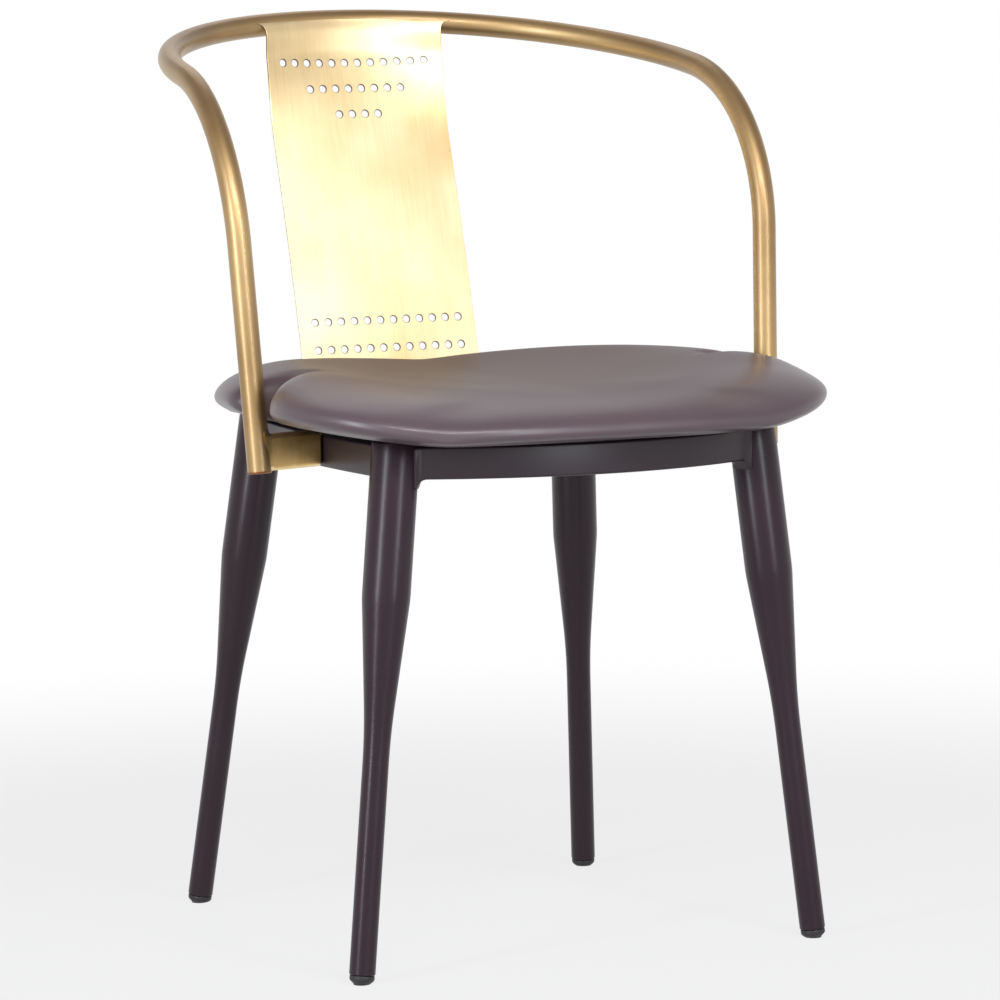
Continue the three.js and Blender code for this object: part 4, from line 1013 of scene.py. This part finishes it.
seatRearReach = seatRearY - seat["widestY"]
seatMiddleY = (seatFrontY + seatRearY) / 2
boardUnderside = railTop + seat["spacerThickness"] + 2 * gap
seatUnderside = boardUnderside - seat["coverThickness"] - gap
notchSpot = uprightAt(1, railTop + seat["dishDepth"])
notchDepth = seatHalfWidth - (notchSpot[0] - hoopTubeRadius - seat["notchClearance"])


def seatRadius(angle):
    forward = np.sin(angle) < 0
    reach = np.where(forward, seatFrontReach, seatRearReach)
    power = np.where(forward, seat["frontSquareness"], seat["rearSquareness"])
    across, along = np.abs(np.cos(angle)) / seatHalfWidth, np.abs(np.sin(angle)) / reach
    return (across ** power + along ** power) ** (-1 / power)


def notchShare(y, inset):
    # 1 beside the hoop's upright, falling away in front of it and faster behind it
    behind = y - notchSpot[1]
    front, rear = (
        1 / (1 + (np.maximum(away, 0) / (seat[label] + inset)) ** seat[label + "Power"])
        for away, label in ((-behind, "notchFront"), (behind, "notchRear")))
    return np.where(behind < 0, front, rear)


def seatPlan(angle, share, inset):
    full = seatRadius(angle)
    edgeY = seat["widestY"] + full * np.sin(angle)
    notch = np.where(np.abs(np.cos(angle)) > seat["notchFacing"],
                     notchDepth * notchShare(edgeY, inset), 0)
    radius = share * (full - inset) - notch * share ** seat["notchFade"]
    return radius * np.cos(angle), seat["widestY"] + radius * np.sin(angle)


def seatBottom(x, y):
    flat = seat["flatHalfWidth"]
    raised = np.maximum(np.abs(x) - flat, 0) / (seatHalfWidth - flat)
    rearward = smoothstep(y, seat["widestY"], seat["widestY"] + seat["wingGrowth"])
    lift = seat["wingLift"] + seat["rearWingLift"] * rearward
    return seatUnderside + lift * raised ** seat["wingPower"]


def seatTop(x, y):
    share = np.minimum(np.abs(x) / seatHalfWidth / seat["sideRiseShare"], seat["sideLimitShare"])
    fadeY = seat["widestY"] + seat["fadeStart"]
    forward = np.clip((fadeY - y) / (fadeY - seatFrontY), 0, 1)
    depth = (y - seatMiddleY) / (seatRearY - seatMiddleY)
    rise = np.where(depth < 0, seat["frontRise"], seat["rearRise"])
    fade = 1 - seat["fadeShare"] * forward ** 2
    return (seatUnderside + seat["dishDepth"] + rise * depth ** 2
            + seat["sideRise"] * share ** seat["sidePower"] * fade)


def lobeEnd(angle):
    # 1 where the front lobe ends at the notch, fading forward along the side
    ahead = notchSpot[1] - (seat["widestY"] + seatRadius(angle) * np.sin(angle))
    full = seat["lobeStart"] + seat["lobeRise"]
    return (smoothstep(ahead, seat["lobeStart"], full)
            * (1 - smoothstep(ahead, full, seat["lobeReach"])))


def rollStartShare(angle):
    depth = np.sin(angle)
    end = np.where(depth < 0, seat["frontRoll"], seat["rearRoll"])
    width = seat["sideRoll"] + (end - seat["sideRoll"]) * depth ** 2
    width = width + (seat["lobeRoll"] - width) * lobeEnd(angle)
    return 1 - width / seatRadius(angle)


def seatAngles():
    # evenly spread round the seat, but close together at the two notches
    fine = np.linspace(0, 2 * math.pi, 7200, endpoint=False)
    notchAngle = math.atan2(notchSpot[1] - seat["widestY"], seatHalfWidth)
    density = np.ones_like(fine)
    for middle in (notchAngle, math.pi - notchAngle):
        away = np.abs((fine - middle + math.pi) % (2 * math.pi) - math.pi)
        density += seat["notchDensity"] * np.exp(-(away / seat["notchSpread"]) ** 2)
    total = np.r_[0, np.cumsum(density)]
    return np.interp(np.linspace(0, total[-1], seat["spokes"], endpoint=False), total,
                     np.r_[fine, 2 * math.pi])


def seatRings(inset):
    angle = seatAngles()
    start = rollStartShare(angle)
    rings = []

    def ring(*axes):
        rings.append(np.stack(axes, -1))

    for share in np.linspace(0, 1, seat["crownRings"])[1:]:
        x, y = seatPlan(angle, share * start, inset)
        ring(x, y, seatTop(x, y) - inset)
    frontShare = smoothstep(-np.sin(angle), 0, seat["frontRollFrom"])
    power = seat["rollPower"] + (seat["frontRollPower"] - seat["rollPower"]) * frontShare
    power = power + (seat["lobePower"] - power) * lobeEnd(angle)
    for sweep in quarterTurn(seat["rollRings"])[1:]:
        x, y = seatPlan(angle, start + (1 - start) * math.sin(sweep), inset)
        widest = seatBottom(x, y) + seat["tuckHeight"]
        top = seatTop(x, y) - inset
        ring(x, y, widest + (top - widest) * max(math.cos(sweep), 0) ** power)
    edgeX, edgeY = seatPlan(angle, 1.0, inset)
    length = np.hypot(edgeX, edgeY - seat["widestY"])
    for sweep in quarterTurn(seat["tuckRings"])[1:]:
        pull = 1 - seat["tuckReach"] * (1 - math.cos(sweep)) / length
        x, y = edgeX * pull, seat["widestY"] + (edgeY - seat["widestY"]) * pull
        bottom = seatBottom(x, y) + inset
        ring(x, y, bottom + (seat["tuckHeight"] - inset) * (1 - math.sin(sweep)))
    heldFrom = len(rings)
    # the cover is turned in under the board, and the board shows inside it
    for turnedIn in np.linspace(seat["tuckReach"] + seat["turnInStart"], seat["turnIn"],
                                seat["turnInRings"]):
        x, y = seatPlan(angle, 1.0, turnedIn)
        ring(x, y, seatBottom(x, y))
    for share in np.linspace(1, 0, seat["boardRings"])[:-1]:
        x, y = seatPlan(angle, share, seat["turnIn"] + gap)
        ring(x, y, seatBottom(x, y) + seat["coverThickness"] + gap)
    return np.array(rings), heldFrom


def settleCushion(obj, heldPoints):
    # the padding pushes the cover out a little where nothing holds it
    modifier = obj.modifiers.new("settle", "CLOTH")
    obj.vertex_groups.new(name="held").add(heldPoints, 1.0, "REPLACE")
    for label, value in seat["cloth"].items():
        setattr(modifier.settings, label, value)
    modifier.settings.effector_weights.gravity = 0
    modifier.collision_settings.use_collision = False
    modifier.collision_settings.use_self_collision = False
    scene = bpy.context.scene
    for frameNumber in range(1, seat["settleFrames"] + 1):
        scene.frame_set(frameNumber)
    graph = bpy.context.evaluated_depsgraph_get()
    rest = pointsOf(obj.data)
    shift = pointsOf(obj.evaluated_get(graph).data) - rest
    size = np.linalg.norm(shift, axis=1, keepdims=True)
    limit = seat["moveLimit"] * mm
    shift *= limit * np.tanh(size / limit) / np.maximum(size, 1e-9)
    obj.modifiers.clear()
    obj.data.vertices.foreach_set("co", (rest + shift).ravel())
    obj.data.update()
    scene.frame_set(1)
    say("cushion settled, largest move mm:", round(float(np.abs(shift).max() / mm), 2))


def subdivide(obj):
    modifier = obj.modifiers.new("round", "SUBSURF")
    modifier.levels = modifier.render_levels = 1
    bake(obj)


def closePoles(mesh):
    # the rings end in two small open loops, top and bottom; each gets a middle point
    bm = bmesh.new()
    bm.from_mesh(mesh)
    loops = {}
    for edge in [e for e in bm.edges if e.is_boundary]:
        loops.setdefault(edge.verts[0].co.z > seatUnderside * mm + 0.02, []).append(edge)
    for loop in loops.values():
        rim = {v for e in loop for v in e.verts}
        middle = bm.verts.new(sum((v.co for v in rim), Vector()) / len(rim))
        for edge in loop:
            bm.faces.new((*edge.verts, middle))
    bm.to_mesh(mesh)
    bm.free()
    tidyMesh(mesh, 80)


def makeSeat():
    rings, heldFrom = seatRings(seat["startInset"])
    count, width = rings.shape[:2]
    obj = meshObject("seatCushion", rings, gridFaces(count, width), 80)
    settleCushion(obj, list(range(heldFrom * width, count * width)))
    subdivide(obj)
    closePoles(obj.data)
    dress(obj, "leather")
    finishPiece(obj, "upholstery", "seat_cover", "seat_foam")


makeSeat()
say("seat made")


dust = dict(thickness=0.7, clearance=0.6, rings=10)


def makeDustCover():
    # a thin slab that follows the underside, from its middle to the turned-in edge
    angle = seatAngles()
    high = seat["coverThickness"]
    low = high - dust["thickness"]
    shares = np.linspace(0, 1, dust["rings"] + 1)[1:]
    rings = []
    for offset, order in ((high, shares), (low, shares[::-1])):
        for share in order:
            x, y = seatPlan(angle, share, seat["turnIn"] + dust["clearance"])
            rings.append(np.stack([x, y, seatBottom(x, y) + offset], -1))
    middle = float(seatBottom(0, seat["widestY"]))
    obj = closedRings("dustCover", rings, (0, seat["widestY"], middle + high),
                      (0, seat["widestY"], middle + low))
    dress(obj, "cloth")
    finishPiece(obj, "dust_cloth", "dust_cover")


makeDustCover()
dressSolids(seat_board="plywood", tee_nut="zinc")

fittings = dict(
    spacer=dict(diameter=18, thickness=3.4, bore=6.4, edge=0.8, sides=40),
    seatScrew=dict(head=12, headHeight=3.4, shank=6, length=18, recess=6.4, recessWidth=1.3,
                   recessDepth=1.9),
    splatScrew=dict(head=9.5, headHeight=2.6, shank=5, length=11, recess=5.2, recessWidth=1.1,
                    recessDepth=1.5),
    screwForm=dict(tip=0.6, tipLength=1.6, headRim=0.4, headCrown=0.62, edge=0.6, slotFloor=0.6),
    bolt=dict(head=10, headHeight=5, shank=6, length=8, socket=5, socketDepth=2.8, edge=0.5),
    sides=32, plateDepth=3,
)


def cutAway(obj, *cutters):
    for cutter in cutters:
        modifier = obj.modifiers.new("cut", "BOOLEAN")
        modifier.operation = "DIFFERENCE"
        modifier.solver = "EXACT"
        modifier.object = cutter
    bake(obj)
    for cutter in cutters:
        bpy.data.objects.remove(cutter)
    tidyMesh(obj.data, 30)
    return obj


def turned(name, corners, edge):
    return atOrigin(lathe(name, roundedProfile(corners, edge, 4), sideCount=fittings["sides"]))


def crossHeadScrew(name):
    # head up along Z, its bearing face at the origin
    size, form = fittings[name], fittings["screwForm"]
    radius, height, shank = size["head"] / 2, size["headHeight"], size["shank"] / 2
    tip = -size["length"]
    obj = turned(name, [
        (0, tip), (shank * form["tip"], tip), (shank, tip + form["tipLength"]), (shank, 0),
        (radius, 0), (radius, height * form["headRim"]), (radius * form["headCrown"], height),
        (0, height)], form["edge"])
    cutters = []
    for x, y in ((size["recess"] / 2, size["recessWidth"] / 2),
                 (size["recessWidth"] / 2, size["recess"] / 2)):
        # each slot is shorter at its floor
        taper = (form["slotFloor"], 1) if x > y else (1, form["slotFloor"])
        points = [(across * px, along * py, z)
                  for z, px, py in ((height - size["recessDepth"], *taper), (height + 1, 1, 1))
                  for across, along in ((-x, -y), (x, -y), (x, y), (-x, y))]
        faces = [(0, 1, 2, 3), (4, 5, 6, 7), *gridFaces(2, 4)]
        cutters.append(meshObject("cross", points, faces, 30, shift=False))
    return cutAway(obj, *cutters)


def socketBolt():
    size = fittings["bolt"]
    radius, height, shank = size["head"] / 2, size["headHeight"], size["shank"] / 2
    obj = turned("bolt", [(0, -size["length"]), (shank, -size["length"]), (shank, 0), (radius, 0),
                          (radius, height), (0, height)], size["edge"])
    floor, across = height - size["socketDepth"], size["socket"] / 2
    socket = [(0, floor), (across, floor), (across, height + 1), (0, height + 1)]
    return cutAway(obj, atOrigin(lathe("hex", socket, sideCount=6)))


def spacerRing():
    size = fittings["spacer"]
    radius, bore, high = size["diameter"] / 2, size["bore"] / 2, size["thickness"]
    ring = roundedProfile([(bore, 0), (radius, 0), (radius, high), (bore, high)], size["edge"], 4)
    turn = np.linspace(0, 2 * math.pi, size["sides"], endpoint=False)
    points = [(r * math.cos(t), r * math.sin(t), z) for t in turn for r, z in ring]
    faces = gridFaces(size["sides"], len(ring), closeRows=True)
    return meshObject("spacer", points, faces, 30, shift=False)


def cornerPlaces(height):
    # where the seat's screws stand, left then right, front then rear
    for sideSign in sides.values():
        for cornerName in ("front", "rear"):
            (headX, headY), (x, y) = legs[cornerName]["head"], legs[cornerName]["screw"]
            yield sideSign * (headX - x), headY + y, height


def boltPlaces():
    for sign in sides.values():
        start, inward = bracketAxes(sign)
        lean = math.radians(brackets["sweep"]) * brackets["boltLean"]
        through = (railCrossing(sign, start, inward)[0]
                   + (rails["thickness"] + 2 * gap) / math.cos(lean)
                   + fittings["bolt"]["head"] / 2 * math.tan(lean) + gap)
        for offset in (-1, 1):
            yield start + inward * through + [0, 0, offset * brackets["boltSpacing"] / 2]


def setCopies(name, piece, places, axes, look, slotName, replaced, spin=0.0, seed=3):
    mesh = rawMesh(name, places)
    layer = mesh.attributes.new("axis", "FLOAT_VECTOR", "POINT")
    layer.data.foreach_set("vector", np.asarray(axes, np.float32).ravel())
    obj = addObject(name, mesh)
    runTree(obj, copiesOnPoints, 30, Piece=piece, Spin=spin, Seed=seed, Material=materials[look])
    bpy.data.objects.remove(piece)
    finishPiece(obj, slotName, *replaced)


copiesOnPoints = copiesTree()
cornerNames = [f"{c}_{s}" for s in sides for c in ("front", "rear")]
splatScrewY = splatFootY + splat["thickness"] / 2 + gap
setCopies("seatSpacers", spacerRing(), list(cornerPlaces(railTop + gap)), [(0, 0, 1)] * 4,
          "rubber", "spacer_rubber", [f"seat_spacer_{c}" for c in cornerNames])
setCopies("seatScrews", crossHeadScrew("seatScrew"),
          list(cornerPlaces(railTop - fittings["plateDepth"] - gap)), [(0, 0, -1)] * 4,
          "zinc", "zinc_steel", [f"seat_screw_{c}" for c in cornerNames], 0.7, 5)
setCopies("splatScrews", crossHeadScrew("splatScrew"),
          [(x * splat["screwSpacing"], splatScrewY, railTop - splat["screwDrop"])
           for x in (-1, 0, 1)], [(0, 1, 0)] * 3,
          "zinc", "zinc_steel", [f"splat_screw_{i}" for i in (1, 2, 3)], 0.7, 8)
setCopies("bracketBolts", socketBolt(), list(boltPlaces()),
          [bracketAxes(sign)[1] for sign in sides.values() for _ in (1, 2)],
          "zinc", "zinc_steel", [f"bracket_bolt_{s}_{i}" for s in sides for i in (1, 2)], 0.5, 2)
say("fittings made")


studio = dict(
    floorSize=60.0, floorPale=0.5, glowNear=0.8, glowFrom=0.7, glowTo=1.8, ambient=0.12,
    mirrored=(1.0, 1.0, 1.0), mirroredAbove=(0.42, 0.38, 0.39), skyFrom=0.12, skyTo=0.75,
    aim=(0, 0, 0.5),
    lamps=dict(
        stripLeft=dict(azimuth=-65, elevation=12, distance=2.6, size=(0.3, 1.9), power=36,
                       tint=(0.88, 0.94, 1)),
        stripFront=dict(azimuth=10, elevation=14, distance=2.7, size=(0.27, 1.9), power=23,
                        tint=(0.88, 0.94, 1)),
        highFront=dict(azimuth=-14, elevation=38, distance=2.6, size=(1.7, 0.3), power=33),
        overhead=dict(azimuth=-18, elevation=54, distance=2.4, size=(1.6, 0.3), power=4),
        behind=dict(azimuth=165, elevation=48, distance=2.6, size=(1.4, 1.4), power=5),
    ),
)
camera = dict(azimuth=-24.5606, elevation=5.8417, roll=-0.9, focal=5013.54,
              at=(-1785.3, -3943.1, 812.1), photoSide=1000, sensor=36, farEnd=100)


def grey(value):
    return (value, value, value, 1)


def mirrorRays(wiring, path):
    return wiring.calc("MAXIMUM", path["Is Glossy Ray"], path["Is Transmission Ray"])


def towards(azimuth, elevation):
    a, e = math.radians(azimuth), math.radians(elevation)
    return Vector((math.sin(a) * math.cos(e), -math.cos(a) * math.cos(e), math.sin(e)))


def makeFloor():
    bpy.ops.mesh.primitive_circle_add(vertices=128, radius=studio["floorSize"] / 2,
                                      fill_type="NGON")
    floor = bpy.context.object
    floor.name = "floor"
    paint = Painter("paleFloor", Base_Color=grey(studio["floorPale"]), Roughness=0.9,
                    Specular_IOR_Level=0.1)
    path = paint.node("ShaderNodeLightPath")
    seen = paint.calc("MAXIMUM", path["Is Camera Ray"], mirrorRays(paint, path))
    # near the chair the floor keeps its shadow, further out it is plain white
    fade = paint.spread(paint.vectorCalc("LENGTH", paint.point)["Value"], studio["glowNear"], 1,
                        studio["glowFrom"], studio["glowTo"], "SMOOTHSTEP")
    mix = paint.node("ShaderNodeMixShader", {
        0: paint.calc("MULTIPLY", seen, fade), 1: paint.shader.outputs[0],
        2: paint.node("ShaderNodeEmission")[0]})
    paint.tree.links.new(mix[0], paint.tree.nodes["Material Output"].inputs["Surface"])
    floor.data.materials.append(paint.material)


def makeWorld():
    # white where the camera looks, soft grey to light the chair, warm grey in the metal
    world = bpy.data.worlds.new("studio")
    bpy.context.scene.world = world
    world.use_nodes = True
    w = Wiring(world.node_tree)
    path = w.node("ShaderNodeLightPath")
    place = w.node("ShaderNodeTexCoord")["Generated"]
    rise = w.spread(w.node("ShaderNodeSeparateXYZ", {0: place})["Z"], 0, 1,
                    studio["skyFrom"], studio["skyTo"], "SMOOTHSTEP")
    sky = w.blend(rise, (*studio["mirrored"], 1), (*studio["mirroredAbove"], 1))
    soft = w.blend(mirrorRays(w, path), grey(studio["ambient"]), sky)
    back = w.tree.nodes["Background"]
    back.inputs["Strength"].default_value = 1
    w.tree.links.new(w.blend(path["Is Camera Ray"], soft, grey(1)), back.inputs["Color"])


def makeLamps():
    for name, lamp in studio["lamps"].items():
        data = bpy.data.lights.new(name, "AREA")
        data.shape = "RECTANGLE"
        data.size, data.size_y = lamp["size"]
        data.energy = lamp["power"]
        data.color = lamp.get("tint", (1, 1, 1))
        obj = addObject(name, data)
        away = towards(lamp["azimuth"], lamp["elevation"])
        obj.location = Vector(studio["aim"]) + away * lamp["distance"]
        obj.rotation_euler = (-away).to_track_quat("-Z", "Y").to_euler()


def makeCamera():
    a, r = (math.radians(camera[k]) for k in ("azimuth", "roll"))
    back = towards(camera["azimuth"], camera["elevation"])
    right = Vector((math.cos(a), math.sin(a), 0))
    up = back.cross(right)
    rolled = right * math.cos(r) + up * math.sin(r)
    upright = up * math.cos(r) - right * math.sin(r)
    data = bpy.data.cameras.new("camera")
    data.sensor_width = camera["sensor"]
    data.lens = camera["focal"] / camera["photoSide"] * data.sensor_width
    data.clip_end = camera["farEnd"]
    obj = addObject("camera", data)
    x, y, z = camera["at"]
    place = Matrix((rolled, upright, back)).transposed().to_4x4()
    place.translation = Vector((x, y + chairShift, z)) * mm
    obj.matrix_world = place
    bpy.context.scene.camera = obj


makeFloor()
makeWorld()
makeLamps()
makeCamera()
bpy.context.scene.view_settings.view_transform = "Standard"
say("studio and camera made")
